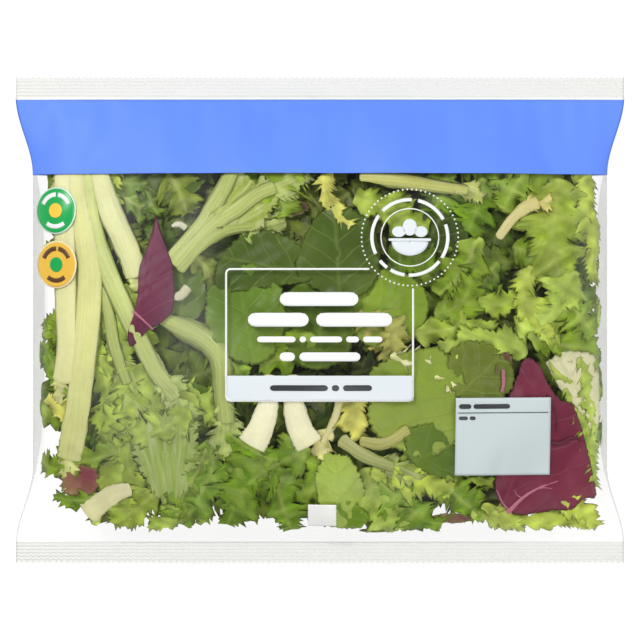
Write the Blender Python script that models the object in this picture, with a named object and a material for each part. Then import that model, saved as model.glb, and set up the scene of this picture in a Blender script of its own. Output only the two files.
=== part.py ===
"""Pillow bag of mixed salad leaves, lying on its back with the printed front up.

The bag is one tube of film, pressed flat and crimped at both ends. Filled, it is a
pillow: a domed front, a back that flattens where it rests, rounded side folds, and a
thin flat seal with a serrated edge at each end. It is modelled as one closed solid.

Frame: metres, +X across the bag, +Y towards its top seal, +Z up out of its front.
The origin is under the middle of the bag, at the height of the surface it lies on.
"""

import math

import bmesh
import bpy
import numpy as np

# Driving dimensions, in metres
SEAL_WIDTH = 0.250        # flat width of the film tube, kept by the two seals
BAG_HEIGHT = 0.200        # serrated edge to serrated edge
BODY_WIDTH = 0.236        # side fold to side fold, narrower because the bag is full
BAG_THICKNESS = 0.058     # the surface it lies on to the crown of the front
SEAM_LEVEL = 0.024        # height of the seals and of the side folds
SEAL_DEPTH = 0.0082       # crimped band at each end
SEAL_THICKNESS = 0.0008   # two welded films with their crimp
TOOTH_PITCH = 0.00236     # serrated cut of the seals
TOOTH_DEPTH = 0.0008
NECK_START = 0.060        # distance from the middle where the outline starts to widen

# How full the pillow is: exponents of its two profiles
ALONG_POWER = 2.4         # front, from seal to seal
BACK_ALONG_POWER = 3.0    # back, which lies flatter
ACROSS_POWER = 2.5        # front, from fold to fold
BACK_ACROSS_POWER = 3.2
FOLD_ROUNDNESS = 0.56     # 0.5 is a round side fold, 1 a sharp one
BACK_OVERSHOOT = 0.005    # how far the free back would sag below the resting surface

# Unevenness that the leaves and the seals give the film
LEAF_SWELL = 0.0013       # broad swellings over the leaves
LEAF_SWELL_LENGTH = 0.085
PUCKER_DEPTH = 0.0011     # gathers that run out of the seals
PUCKER_LENGTH = 0.036

COLUMNS = 44              # mesh steps from fold to fold
ROWS = 30                 # mesh steps from seal to seal

BODY_HALF_LENGTH = BAG_HEIGHT / 2 - SEAL_DEPTH


def smooth_step(value):
    """Ease from 0 to 1 with level ends."""
    value = np.clip(value, 0.0, 1.0)
    return value * value * (3.0 - 2.0 * value)


def spread(count):
    """Steps from -1 to 1 that close up towards both ends, where the pillow curves most."""
    t = np.linspace(-1.0, 1.0, count + 1)
    return 0.5 * (t + np.sin(t * math.pi / 2))


def half_width(y):
    """Outline: parallel sides that swing out to the full film width at the seals."""
    neck = (np.abs(y) - NECK_START) / (BODY_HALF_LENGTH - NECK_START)
    return BODY_WIDTH / 2 + (SEAL_WIDTH - BODY_WIDTH) / 2 * smooth_step(neck)


def fullness(u, v, across_power, along_power):
    """Share of the full height, 0 on the seams and 1 in the middle, folds sharper near the seals."""
    along = 1.0 - np.abs(v) ** along_power
    fold = FOLD_ROUNDNESS + (1.0 - FOLD_ROUNDNESS) * smooth_step((np.abs(v) - 0.45) / 0.55)
    across = np.clip(1.0 - np.abs(u) ** across_power, 0.0, 1.0) ** fold
    return along * across


def swelling(x, y):
    """Broad low swellings, crossed waves of two lengths."""
    turn = 2.0 * math.pi / LEAF_SWELL_LENGTH
    broad = np.sin(turn * x + 0.7) * np.cos(0.9 * turn * y - 0.3)
    small = 0.6 * np.sin(1.7 * turn * x - 1.9) * np.sin(1.45 * turn * y + 0.8)
    return LEAF_SWELL * (broad + small)


def puckers(x, v):
    """Gathers near the seals, unevenly spaced, that die out towards the middle."""
    turn = 2.0 * math.pi / PUCKER_LENGTH
    near_seal = smooth_step((np.abs(v) - 0.5) / 0.3) * smooth_step((1.0 - np.abs(v)) / 0.12)
    return PUCKER_DEPTH * near_seal * np.cos(turn * x + 1.4 * np.sin(31.0 * x + v))


def front_height(x, y):
    """Height of the front film, never thinner than the seal."""
    u = x / half_width(y)
    v = y / BODY_HALF_LENGTH
    full = fullness(u, v, ACROSS_POWER, ALONG_POWER)
    rise = (BAG_THICKNESS - SEAM_LEVEL) * full
    edge_fade = smooth_step(full / 0.3)
    rise = rise + edge_fade * swelling(x, y) + smooth_step((1.0 - np.abs(u)) / 0.12) * puckers(x, v)
    return SEAM_LEVEL + np.maximum(rise, SEAL_THICKNESS / 2)


def back_height(x, y):
    """Height of the back film, flattened by the surface under it."""
    u = x / half_width(y)
    v = y / BODY_HALF_LENGTH
    full = fullness(u, v, BACK_ACROSS_POWER, BACK_ALONG_POWER)
    drop = np.maximum((SEAM_LEVEL + BACK_OVERSHOOT) * full, SEAL_THICKNESS / 2)
    return np.maximum(SEAM_LEVEL - drop, 0.0)


def add_row(mesh, x, y, z):
    """Vertices of one row, left to right."""
    return [mesh.verts.new(point) for point in zip(x, y, z)]


def add_strip(mesh, lower, upper, facing_up):
    """Quads between two rows of equal length."""
    for left in range(len(lower) - 1):
        corners = [lower[left], lower[left + 1], upper[left + 1], upper[left]]
        mesh.faces.new(corners if facing_up else corners[::-1])


def add_body(mesh):
    """Front and back films and the side folds between them; returns each film's rows."""
    front_rows = []
    back_rows = []
    for v in spread(ROWS):
        y = np.full(COLUMNS + 1, v * BODY_HALF_LENGTH)
        x = spread(COLUMNS) * half_width(y)
        front_rows.append(add_row(mesh, x, y, front_height(x, y)))
        back_rows.append(add_row(mesh, x, y, back_height(x, y)))
    for row in range(ROWS):
        add_strip(mesh, front_rows[row], front_rows[row + 1], True)
        add_strip(mesh, back_rows[row], back_rows[row + 1], False)
        for side in (0, -1):
            corners = [front_rows[row][side], front_rows[row + 1][side],
                       back_rows[row + 1][side], back_rows[row][side]]
            mesh.faces.new(corners if side == 0 else corners[::-1])
    return front_rows, back_rows


def add_seal(mesh, front_row, back_row, end):
    """Flat crimped band beyond one end of the body, end is +1 at the top seal and -1 at the other."""
    teeth = round(SEAL_WIDTH / TOOTH_PITCH)
    x = np.linspace(-SEAL_WIDTH / 2, SEAL_WIDTH / 2, 2 * teeth + 1)
    in_valley = np.arange(2 * teeth + 1) % 2
    y = end * (BAG_HEIGHT / 2 - TOOTH_DEPTH * in_valley)
    front_edge = add_row(mesh, x, y, np.full_like(x, SEAM_LEVEL + SEAL_THICKNESS / 2))
    back_edge = add_row(mesh, x, y, np.full_like(x, SEAM_LEVEL - SEAL_THICKNESS / 2))
    faces = [
        mesh.faces.new(front_row + front_edge[::-1]),
        mesh.faces.new(back_row + back_edge[::-1]),
        mesh.faces.new([front_row[0], front_edge[0], back_edge[0], back_row[0]]),
        mesh.faces.new([front_row[-1], front_edge[-1], back_edge[-1], back_row[-1]]),
    ]
    for left in range(2 * teeth):
        faces.append(mesh.faces.new([front_edge[left], front_edge[left + 1],
                                     back_edge[left + 1], back_edge[left]]))
    return faces


def clear_film_material():
    """Glossy film with green leaves right behind it, as one mean colour."""
    material = bpy.data.materials.new("salad_bag")
    material.use_nodes = True
    shader = material.node_tree.nodes["Principled BSDF"]
    shader.inputs["Base Color"].default_value = (0.24, 0.34, 0.07, 1.0)
    shader.inputs["Roughness"].default_value = 0.22
    shader.inputs["Metallic"].default_value = 0.0
    return material


def make_bag():
    """The whole bag as one closed body."""
    mesh = bmesh.new()
    front_rows, back_rows = add_body(mesh)
    add_seal(mesh, front_rows[0], back_rows[0], -1)
    add_seal(mesh, front_rows[-1], back_rows[-1], 1)
    bmesh.ops.recalc_face_normals(mesh, faces=mesh.faces)
    data = bpy.data.meshes.new("salad_bag")
    mesh.to_mesh(data)
    mesh.free()
    data.shade_smooth()
    data.set_sharp_from_angle(angle=math.radians(40))
    data.materials.append(clear_film_material())
    bag = bpy.data.objects.new("salad_bag", data)
    bpy.context.scene.collection.objects.link(bag)
    return bag


def main():
    for old in list(bpy.data.objects):
        bpy.data.objects.remove(old)
    make_bag()


main()
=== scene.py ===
# Clear pillow bag of mixed salad leaves, lying on its back with the printed front up.
# The bag's form is worked out by formula; film, seals, print and leaves all follow it.
import math

import bpy
import numpy as np
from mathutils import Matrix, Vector


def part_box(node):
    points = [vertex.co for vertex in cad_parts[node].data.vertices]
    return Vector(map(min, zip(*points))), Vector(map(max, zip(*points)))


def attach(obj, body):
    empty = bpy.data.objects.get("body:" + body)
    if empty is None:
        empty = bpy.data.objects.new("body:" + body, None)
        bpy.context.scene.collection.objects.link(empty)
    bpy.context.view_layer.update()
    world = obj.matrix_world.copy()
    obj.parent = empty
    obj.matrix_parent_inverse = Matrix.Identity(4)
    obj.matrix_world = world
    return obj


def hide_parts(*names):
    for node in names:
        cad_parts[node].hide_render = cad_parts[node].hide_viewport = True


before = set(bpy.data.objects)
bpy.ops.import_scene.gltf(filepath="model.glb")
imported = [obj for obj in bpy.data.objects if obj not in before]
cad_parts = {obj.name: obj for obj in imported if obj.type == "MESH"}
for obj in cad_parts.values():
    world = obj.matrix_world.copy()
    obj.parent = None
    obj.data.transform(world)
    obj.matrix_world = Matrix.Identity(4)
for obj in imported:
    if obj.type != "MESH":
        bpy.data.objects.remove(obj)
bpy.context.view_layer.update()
mm = 0.001
low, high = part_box("salad_bag")
print("frame loaded", [round(v, 4) for v in high - low])


bagForm = {
    "sealWidth": high.x - low.x,       # flat width of the film tube
    "height": high.y - low.y,          # serrated edge to serrated edge
    "bodyWidth": 236 * mm,             # side fold to side fold
    "thickness": 58 * mm,              # resting surface to crown
    "seamLevel": 24 * mm,              # height of the seals and side folds
    "sealDepth": 8.2 * mm,
    "neckStart": 60 * mm,
    "alongPower": 2.4, "backAlongPower": 3.0,
    "acrossPower": 2.5, "backAcrossPower": 3.2,
    "foldRoundness": 0.56,
    "backOvershoot": 5 * mm,
    "leastRise": 0.1 * mm,             # keeps front and back apart beside the seams
    "leafSwell": 1.3 * mm, "leafSwellLength": 85 * mm,
    "puckerDepth": 1.1 * mm, "puckerLength": 36 * mm,
}
bodyHalf = bagForm["height"] / 2 - bagForm["sealDepth"]


def smoothStep(value):
    value = np.clip(value, 0.0, 1.0)
    return value * value * (3.0 - 2.0 * value)


def halfWidth(y):
    # half the body's width, plus a smooth step from the neck to the full film width at the seals
    neck = (np.abs(y) - bagForm["neckStart"]) / (bodyHalf - bagForm["neckStart"])
    return bagForm["bodyWidth"] / 2 + (bagForm["sealWidth"] - bagForm["bodyWidth"]) / 2 * smoothStep(neck)


def fullness(u, v, acrossPower, alongPower):
    # (1 - v to a power) times (1 - u to a power) to the fold's power: 0 on the seams, 1 in the middle,
    # with folds sharper near the seals
    along = np.clip(1.0 - np.abs(v) ** alongPower, 0.0, 1.0)
    roundness = bagForm["foldRoundness"]
    fold = roundness + (1 - roundness) * smoothStep((np.abs(v) - 0.45) / 0.55)
    return along * np.clip(1.0 - np.abs(u) ** acrossPower, 0.0, 1.0) ** fold


def filmFront(x, y, fine=True):
    # seam level, plus the rise of the pillow, broad swellings and gathers by the seals
    u = x / halfWidth(y)
    v = y / bodyHalf
    full = fullness(u, v, bagForm["acrossPower"], bagForm["alongPower"])
    turn = 2 * math.pi / bagForm["leafSwellLength"]
    swell = np.sin(turn * x + 0.7) * np.cos(0.9 * turn * y - 0.3)
    swell = swell + 0.6 * np.sin(1.7 * turn * x - 1.9) * np.sin(1.45 * turn * y + 0.8)
    swell = bagForm["leafSwell"] * swell
    nearSeal = smoothStep((np.abs(v) - 0.5) / 0.3) * smoothStep((1.0 - np.abs(v)) / 0.12)
    gathers = np.cos(2 * math.pi / bagForm["puckerLength"] * x + 1.4 * np.sin(31.0 * x + v))
    inside = smoothStep((1.0 - np.abs(u)) / 0.12)
    rise = (bagForm["thickness"] - bagForm["seamLevel"]) * full + smoothStep(full / 0.3) * swell
    rise = rise + inside * bagForm["puckerDepth"] * nearSeal * gathers
    if fine:
        rise = rise + inside * filmCreases(x, y, v)
    return bagForm["seamLevel"] + np.maximum(rise, bagForm["leastRise"])


def filmBack(x, y):
    # seam level less a fuller pillow's drop, cut off level at 0 where the bag stands
    full = fullness(x / halfWidth(y), y / bodyHalf, bagForm["backAcrossPower"], bagForm["backAlongPower"])
    drop = np.maximum((bagForm["seamLevel"] + bagForm["backOvershoot"]) * full, bagForm["leastRise"])
    return np.maximum(bagForm["seamLevel"] - drop, 0.0)


def turned(x, y, midX, midY, angle):
    # distances in mm along and across a line through a middle point, at an angle in degrees
    cosine, sine = math.cos(math.radians(angle)), math.sin(math.radians(angle))
    outX, outY = x / mm - midX, y / mm - midY
    return outX * cosine + outY * sine, outY * cosine - outX * sine


creaseLines = [  # middle x, middle y, angle in degrees, half length, depth, width (mm)
    (-99, 52, 68, 20, 0.7, 3.2), (-70, 70, 80, 13, 0.3, 3.6), (-30, 72, 95, 12, 0.3, 3.6),
    (12, 72, 84, 12, 0.3, 3.6), (52, 70, 97, 13, 0.3, 3.6), (98, 52, 112, 20, 0.7, 3.2),
    (-98, -66, -60, 25, 0.9, 3.2), (-58, -76, -80, 14, 0.7, 2.6), (-8, -77, -92, 14, 0.6, 2.7),
    (34, -76, -84, 14, 0.6, 2.6), (70, -72, -104, 17, 0.7, 2.8), (99, -64, -122, 25, 0.9, 3.2),
    (-106, 8, 86, 30, 0.6, 3.0), (108, -10, 92, 32, 0.6, 3.0), (60, 40, 24, 28, 0.35, 4.0),
    (-70, 20, -32, 30, 0.35, 4.0), (30, -48, 12, 30, 0.3, 4.5),
]


def filmCreases(x, y, v):
    # a cosine's fine gathers beside the seals, less soft tension folds, each a bell across its own line
    fineGathers = np.cos(2 * math.pi * x / (11.5 * mm) + 2.1 * np.sin(47.0 * x + np.sign(v)))
    fineZone = smoothStep((np.abs(v) - 0.68) / 0.22) * smoothStep((1.0 - np.abs(v)) / 0.05)
    relief = 0.3 * mm * fineZone * fineGathers
    for midX, midY, angle, half, depth, width in creaseLines:
        along, across = turned(x, y, midX, midY, angle)
        relief = relief - depth * mm * np.exp(-(across / width) ** 2 - (along / half) ** 4)
    return relief


def buildPiece(name, points, faces, material, colours=None, uvs=None, smooth=True):
    # faces is a list of whole arrays, one for quads and one for triangles
    mesh = bpy.data.meshes.new(name)
    points = np.asarray(points, dtype=np.float32).reshape(-1, 3)
    faces = [np.asarray(block, dtype=np.int32) for block in faces if len(block)]
    corners = np.concatenate([block.ravel() for block in faces])
    totals = np.concatenate([np.full(len(block), block.shape[1]) for block in faces]).astype(np.int32)
    starts = np.concatenate([[0], np.cumsum(totals)[:-1]]).astype(np.int32)
    mesh.vertices.add(len(points))
    mesh.vertices.foreach_set("co", points.ravel())
    mesh.loops.add(len(corners))
    mesh.loops.foreach_set("vertex_index", corners)
    mesh.polygons.add(len(totals))
    mesh.polygons.foreach_set("loop_start", starts)
    mesh.polygons.foreach_set("loop_total", totals)
    mesh.update(calc_edges=True)
    if smooth:
        mesh.shade_smooth()
    if colours is not None:
        layer = mesh.color_attributes.new("leafColour", "FLOAT_COLOR", "POINT")
        opaque = np.column_stack([colours, np.ones(len(points))])
        layer.data.foreach_set("color", opaque.astype(np.float32).ravel())
    if uvs is not None:
        layer = mesh.uv_layers.new(name="leafPlan")
        layer.data.foreach_set("uv", np.asarray(uvs, dtype=np.float32)[corners].ravel())
    mesh.materials.append(material)
    piece = bpy.data.objects.new(name, mesh)
    bpy.context.scene.collection.objects.link(piece)
    return piece


def gridFaces(rows, columns, closed=False):
    # quads between neighbouring rows of a grid, wrapping round where it is closed
    steps = columns if closed else columns - 1
    row, column = np.meshgrid(np.arange(rows - 1), np.arange(steps), indexing="ij")
    nextColumn = (column + 1) % columns
    corners = [row * columns + column, row * columns + nextColumn,
               (row + 1) * columns + nextColumn, (row + 1) * columns + column]
    return np.stack([corner.ravel() for corner in corners], axis=1)


def slabFaces(rows, columns):
    # a closed slab: top grid, bottom grid after it, and the four walls between their rims
    top = gridFaces(rows, columns)
    index = np.arange(rows * columns).reshape(rows, columns)
    rim = np.concatenate([index[0, :-1], index[:-1, -1], index[-1, :0:-1], index[:0:-1, 0]])
    after = np.roll(rim, -1)
    offset = rows * columns
    walls = np.stack([rim, rim + offset, after + offset, after], axis=1)
    return np.concatenate([top, top[:, ::-1] + offset, walls])


def rideOnBag(piece):
    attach(piece, "root")
    return piece


def linear(red, green, blue):
    # display colour 0-255 to the renderer's linear value
    value = np.array([red, green, blue]) / 255.0
    return np.where(value <= 0.04045, value / 12.92, ((value + 0.055) / 1.055) ** 2.4)


def newMaterial(name, base=(200, 200, 200), roughness=0.4):
    material = bpy.data.materials.new(name)
    material.use_nodes = True
    nodes = material.node_tree.nodes
    shader = nodes["Principled BSDF"]
    shader.inputs["Base Color"].default_value = (*linear(*base), 1.0)
    shader.inputs["Roughness"].default_value = roughness
    return material, nodes, material.node_tree.links, shader


def addNode(nodes, kind, settings=None, **inputs):
    node = nodes.new(kind)
    for key, value in (settings or {}).items():
        setattr(node, key, value)
    for key, value in inputs.items():
        node.inputs[key.replace("_", " ")].default_value = value
    return node


def mathNode(nodes, links, operation, first, second=None, clamp=False):
    node = addNode(nodes, "ShaderNodeMath", {"operation": operation, "use_clamp": clamp})
    for socket, value in zip(node.inputs, (first, second)):
        if value is None:
            continue
        if isinstance(value, (int, float)):
            socket.default_value = value
        else:
            links.new(value, socket)
    return node.outputs[0]


def rangeNode(nodes, links, source, fromMin, fromMax, toMin=0.0, toMax=1.0):
    node = addNode(nodes, "ShaderNodeMapRange", None, From_Min=fromMin, From_Max=fromMax,
                   To_Min=toMin, To_Max=toMax)
    links.new(source, node.inputs["Value"])
    return node.outputs[0]


def makeGroup(name, inputs, outputs):
    # an empty node group with named inputs (name, usual value) and outputs
    group = bpy.data.node_groups.new(name, "ShaderNodeTree")
    for title, usual in inputs:
        socket = group.interface.new_socket(name=title, in_out="INPUT", socket_type="NodeSocketFloat")
        socket.default_value = usual
    for title in outputs:
        group.interface.new_socket(name=title, in_out="OUTPUT", socket_type="NodeSocketFloat")
    nodes = group.nodes
    return group, nodes, group.links, nodes.new("NodeGroupInput").outputs, nodes.new("NodeGroupOutput").inputs


def makeVeinGroup():
    # side veins slant off the leaf's middle line: UV x is the distance from it and y the way along
    group, nodes, links, inputs, outputs = makeGroup(
        "leafVeins", [("Spacing", 0.06), ("Slant", 0.8), ("Sharpness", 14.0)], ["Veins"])
    uv = addNode(nodes, "ShaderNodeUVMap", {"uv_map": "leafPlan"})
    wander = addNode(nodes, "ShaderNodeTexNoise", Scale=9.0, Detail=1.0)
    links.new(uv.outputs[0], wander.inputs["Vector"])
    split = nodes.new("ShaderNodeSeparateXYZ")
    links.new(uv.outputs[0], split.inputs[0])
    away = mathNode(nodes, links, "ABSOLUTE", split.outputs["X"])
    slanted = mathNode(nodes, links, "MULTIPLY", away, inputs["Slant"])
    along = mathNode(nodes, links, "SUBTRACT", split.outputs["Y"], slanted)
    wandering = mathNode(nodes, links, "MULTIPLY", wander.outputs["Fac"], 0.05)
    along = mathNode(nodes, links, "ADD", along, wandering)
    turns = mathNode(nodes, links, "DIVIDE", along, inputs["Spacing"])
    wave = mathNode(nodes, links, "COSINE", mathNode(nodes, links, "MULTIPLY", turns, 2 * math.pi))
    wave = mathNode(nodes, links, "MAXIMUM", wave, 0.0)
    veins = mathNode(nodes, links, "POWER", wave, inputs["Sharpness"])
    middle = mathNode(nodes, links, "DIVIDE", away, 0.012)
    middle = mathNode(nodes, links, "SUBTRACT", 1.0, middle, clamp=True)
    links.new(mathNode(nodes, links, "MAXIMUM", veins, middle), outputs[0])
    return group


def makeMottleGroup():
    # soft changes of shade and gloss over a leaf's skin, at two sizes
    group, nodes, links, inputs, outputs = makeGroup(
        "leafMottle", [("Coarse", 55.0), ("Fine", 420.0)], ["Shade", "Gloss"])
    place = nodes.new("ShaderNodeTexCoord")
    coarse = addNode(nodes, "ShaderNodeTexNoise", Detail=3.0, Roughness=0.55)
    fine = addNode(nodes, "ShaderNodeTexNoise", Detail=2.0, Roughness=0.5)
    for node, name in ((coarse, "Coarse"), (fine, "Fine")):
        links.new(place.outputs["Object"], node.inputs["Vector"])
        links.new(inputs[name], node.inputs["Scale"])
    coarseShare = mathNode(nodes, links, "MULTIPLY", coarse.outputs["Fac"], 0.75)
    fineShare = mathNode(nodes, links, "MULTIPLY", fine.outputs["Fac"], 0.25)
    links.new(mathNode(nodes, links, "ADD", coarseShare, fineShare), outputs["Shade"])
    links.new(coarse.outputs["Fac"], outputs["Gloss"])
    return group


def makeStreakGroup():
    # fine lines along a rib: noise read over its UV, stretched far along y
    group, nodes, links, inputs, outputs = makeGroup("ribStreaks", [], ["Streaks"])
    uv = addNode(nodes, "ShaderNodeUVMap", {"uv_map": "leafPlan"})
    stretch = addNode(nodes, "ShaderNodeVectorMath", {"operation": "MULTIPLY"})
    stretch.inputs[1].default_value = (130.0, 5.0, 1.0)
    links.new(uv.outputs[0], stretch.inputs[0])
    lines = addNode(nodes, "ShaderNodeTexNoise", Scale=1.0, Detail=2.0)
    links.new(stretch.outputs[0], lines.inputs["Vector"])
    links.new(rangeNode(nodes, links, lines.outputs["Fac"], 0.42, 0.7), outputs[0])
    return group


veinGroup = makeVeinGroup()
mottleGroup = makeMottleGroup()
streakGroup = makeStreakGroup()
print("shader groups made")


leafLook = {"roughness": (0.3, 0.55), "specular": 0.22, "translucence": 0.15, "lightDepth": 2 * mm}


def leafMaterial(name, veinColour, veinStrength, veins, shadeRange, bump):
    # leaf skin: its own colour attribute, mottled, with paler veins, moist uneven gloss
    material, nodes, links, shader = newMaterial(name)
    skin = addNode(nodes, "ShaderNodeAttribute", {"attribute_name": "leafColour"})
    mottle = addNode(nodes, "ShaderNodeGroup", {"node_tree": mottleGroup})
    if veins:
        pattern = addNode(nodes, "ShaderNodeGroup", {"node_tree": veinGroup}, **veins)
    else:
        pattern = addNode(nodes, "ShaderNodeGroup", {"node_tree": streakGroup})
    shade = rangeNode(nodes, links, mottle.outputs["Shade"], 0.3, 0.7, *shadeRange)
    tinted = addNode(nodes, "ShaderNodeVectorMath", {"operation": "SCALE"})
    links.new(skin.outputs["Color"], tinted.inputs[0])
    links.new(shade, tinted.inputs["Scale"])
    mix = addNode(nodes, "ShaderNodeMix", {"data_type": "RGBA"})
    mix.inputs[7].default_value = (*linear(*veinColour), 1.0)
    links.new(mathNode(nodes, links, "MULTIPLY", pattern.outputs[0], veinStrength), mix.inputs[0])
    links.new(tinted.outputs[0], mix.inputs[6])
    links.new(mix.outputs[2], shader.inputs["Base Color"])
    gloss = rangeNode(nodes, links, mottle.outputs["Gloss"], 0.3, 0.7, *leafLook["roughness"])
    links.new(gloss, shader.inputs["Roughness"])
    shader.inputs["Specular IOR Level"].default_value = leafLook["specular"]
    shader.inputs["Subsurface Weight"].default_value = leafLook["translucence"]
    shader.inputs["Subsurface Radius"].default_value = (0.8, 1.0, 0.3)
    shader.inputs["Subsurface Scale"].default_value = leafLook["lightDepth"]
    relief = addNode(nodes, "ShaderNodeBump", None, Strength=0.5, Distance=bump)
    height = mathNode(nodes, links, "ADD", mathNode(nodes, links, "MULTIPLY", mottle.outputs["Shade"], 1.2),
                      mathNode(nodes, links, "MULTIPLY", pattern.outputs[0], 0.5))
    links.new(height, relief.inputs["Height"])
    links.new(relief.outputs[0], shader.inputs["Normal"])
    return material


filmLook = {
    "columns": 150, "rows": 110, "roughness": 0.16,
    "clear": 0.008,         # cover of the film where it lies flat on leaves
    "margin": 0.10,         # cover towards the side folds and seals, where no leaf shows
    "sideStart": 0.93, "endStart": 0.90,
    "sheen": 0.3,           # most cover added where the film is seen edge on
    "backShare": 0.6,       # the back film's part of the above
}
# painted reflection: whitish bells of film cover, fixed to the bag, where soft reflections of the lamps lie
# on the film
paintedReflectionSpots = [  # middle x, middle y, angle in degrees, half length, half width (mm), cover
    (-80, 46, 80, 22, 9, 0.04), (-50, 26, 84, 34, 9, 0.05), (-48, -4, 130, 20, 10, 0.05),
    (-72, -40, 70, 34, 14, 0.05), (-52, -56, 100, 26, 11, 0.03), (-102, 40, 88, 30, 5, 0.06),
    (108, 20, 92, 40, 4, 0.06), (-88, -30, 96, 30, 9, 0.04), (60, 52, 10, 30, 4, 0.03),
    (26, -70, 172, 30, 5, 0.03),
]


def spread(count):
    # steps from -1 to 1 that close up towards both ends: half of t plus sin(t * 90 degrees)
    t = np.linspace(-1.0, 1.0, count + 1)
    return 0.5 * (t + np.sin(t * math.pi / 2))


def coverAndPaintedReflection(x, y):
    # how much the film hides: a little everywhere, long soft bells of painted reflection, whitish where the
    # lamps' soft reflections would lie, more by the folds and seals
    cover = np.full(x.shape, filmLook["clear"])
    for midX, midY, angle, length, width, strength in paintedReflectionSpots:
        along, across = turned(x, y, midX, midY, angle)
        cover = cover + strength * np.exp(-(along / length) ** 2 - (across / width) ** 2)
    sideStart, endStart = filmLook["sideStart"], filmLook["endStart"]
    side = smoothStep((np.abs(x) / halfWidth(y) - sideStart) / (1 - sideStart) * 1.6)
    end = smoothStep((np.abs(y) / bodyHalf - endStart) / (1 - endStart) * 1.6)
    return cover + filmLook["margin"] * np.maximum(side, 0.6 * end)


def filmMaterial():
    # see-through film: its cover comes from the mesh, and more is added where it is seen edge on
    material, nodes, links, shader = newMaterial("clearFilm", (246, 246, 241), filmLook["roughness"])
    cover = addNode(nodes, "ShaderNodeAttribute", {"attribute_name": "leafColour"})
    edgeOn = addNode(nodes, "ShaderNodeFresnel", None, IOR=1.45)
    sheen = rangeNode(nodes, links, edgeOn.outputs[0], 0.09, 0.7, 0.0, filmLook["sheen"])
    clear = nodes.new("ShaderNodeBsdfTransparent")
    mix = nodes.new("ShaderNodeMixShader")
    links.new(mathNode(nodes, links, "ADD", cover.outputs["Fac"], sheen, clamp=True), mix.inputs[0])
    links.new(clear.outputs[0], mix.inputs[1])
    links.new(shader.outputs[0], mix.inputs[2])
    links.new(mix.outputs[0], nodes["Material Output"].inputs["Surface"])
    shader.inputs["IOR"].default_value = 1.5
    material.surface_render_method = "BLENDED"
    return material


def makeFilm():
    # a tube of film: front left to right, then back right to left, one loop for each step along the bag
    columns = filmLook["columns"]
    v = spread(filmLook["rows"])[:, None]
    y = v * bodyHalf
    across = spread(columns)[None, :] * np.ones_like(v)
    x, y = across * halfWidth(y), y * np.ones_like(across)
    front = np.stack([x, y, filmFront(x, y)], axis=-1)
    back = np.stack([x, y, filmBack(x, y)], axis=-1)[:, -2:0:-1]
    # the folds are the front's end columns, so the back leaves its own end columns out
    fold = 0.5 * (front[:, [0, -1], 2] + filmBack(front[:, [0, -1], 0], front[:, [0, -1], 1]))
    front[:, [0, -1], 2] = fold
    loop = np.concatenate([front, back], axis=1)
    rows, around = loop.shape[:2]
    share = np.ones(around)
    share[columns + 1:] = filmLook["backShare"]
    cover = (coverAndPaintedReflection(loop[..., 0], loop[..., 1]) * share)[..., None] * np.ones(3)
    piece = buildPiece("film_bag", loop, [gridFaces(rows, around, closed=True)], filmMaterial(),
                       cover.reshape(-1, 3))
    return rideOnBag(piece)


sealLook = {
    "toothPitch": 2.36 * mm, "toothDepth": 0.8 * mm,
    "ribs": 6, "ribDepth": 0.16 * mm, "wall": 0.22 * mm, "rows": 42, "overlap": 0.6 * mm, "alpha": 0.9,
}


def sealMaterial():
    material, nodes, links, shader = newMaterial("crimpedSeal", (240, 240, 236), 0.3)
    shader.inputs["Alpha"].default_value = sealLook["alpha"]
    return material


def makeSeal(name, end, material):
    # a corrugated band: both faces follow the same cosine ribs, and the outer rim is a zigzag
    teeth = round(bagForm["sealWidth"] / sealLook["toothPitch"])
    r = np.linspace(0.0, 1.0, sealLook["rows"])[:, None]
    column = np.arange(2 * teeth + 1)[None, :]
    inner = bodyHalf - sealLook["overlap"]
    outer = bagForm["height"] / 2 - sealLook["toothDepth"] * (column % 2)
    y = inner + (outer - inner) * r
    flare = halfWidth(y)
    x = (column / teeth - 1.0) * flare
    ribs = sealLook["ribDepth"] * np.cos(2 * math.pi * sealLook["ribs"] * r) * smoothStep(r / 0.05)
    middle = bagForm["seamLevel"] + ribs * smoothStep((1.0 - r) / 0.06) + 0 * x
    top = np.stack([x, end * y, middle + sealLook["wall"]], axis=-1)
    bottom = np.stack([x, end * y, middle - sealLook["wall"]], axis=-1)
    faces = slabFaces(*x.shape)
    if end < 0:
        faces = faces[:, ::-1]
    piece = buildPiece(name, np.stack([top, bottom]), [faces], material, smooth=False)
    return rideOnBag(piece)


film = makeFilm()
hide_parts("salad_bag")
crimp = sealMaterial()
makeSeal("seal_top", 1, crimp)
makeSeal("seal_bottom", -1, crimp)
print("film and seals made")


printLook = {
    "lift": 0.16 * mm, "thickness": 0.12 * mm,
    "blue": (98, 143, 255), "white": (246, 248, 246), "pale": (228, 235, 240), "panel": (204, 216, 216),
    "square": (252, 253, 248), "back": (232, 236, 238), "seam": (238, 240, 238), "seamAlpha": 0.12,
    "ink": (52, 56, 60), "green": (20, 172, 84), "orange": (246, 196, 72), "rim": (214, 240, 222),
    "cream": (250, 236, 196), "yellow": (250, 208, 70), "brown": (96, 62, 30),
}


def printMaterial(name, colour, roughness=0.3):
    # flat ink under gloss, with a faint unevenness of the lay-down
    material, nodes, links, shader = newMaterial(name, colour, roughness)
    place = nodes.new("ShaderNodeTexCoord")
    cloud = addNode(nodes, "ShaderNodeTexNoise", None, Scale=38.0, Detail=2.0)
    links.new(place.outputs["Object"], cloud.inputs["Vector"])
    mix = addNode(nodes, "ShaderNodeMix", {"data_type": "RGBA"})
    mix.inputs[6].default_value = (*(linear(*colour) * 0.97), 1.0)
    mix.inputs[7].default_value = (*np.minimum(linear(*colour) * 1.03, 1.0), 1.0)
    links.new(cloud.outputs["Fac"], mix.inputs[0])
    links.new(mix.outputs[2], shader.inputs["Base Color"])
    return material


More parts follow.
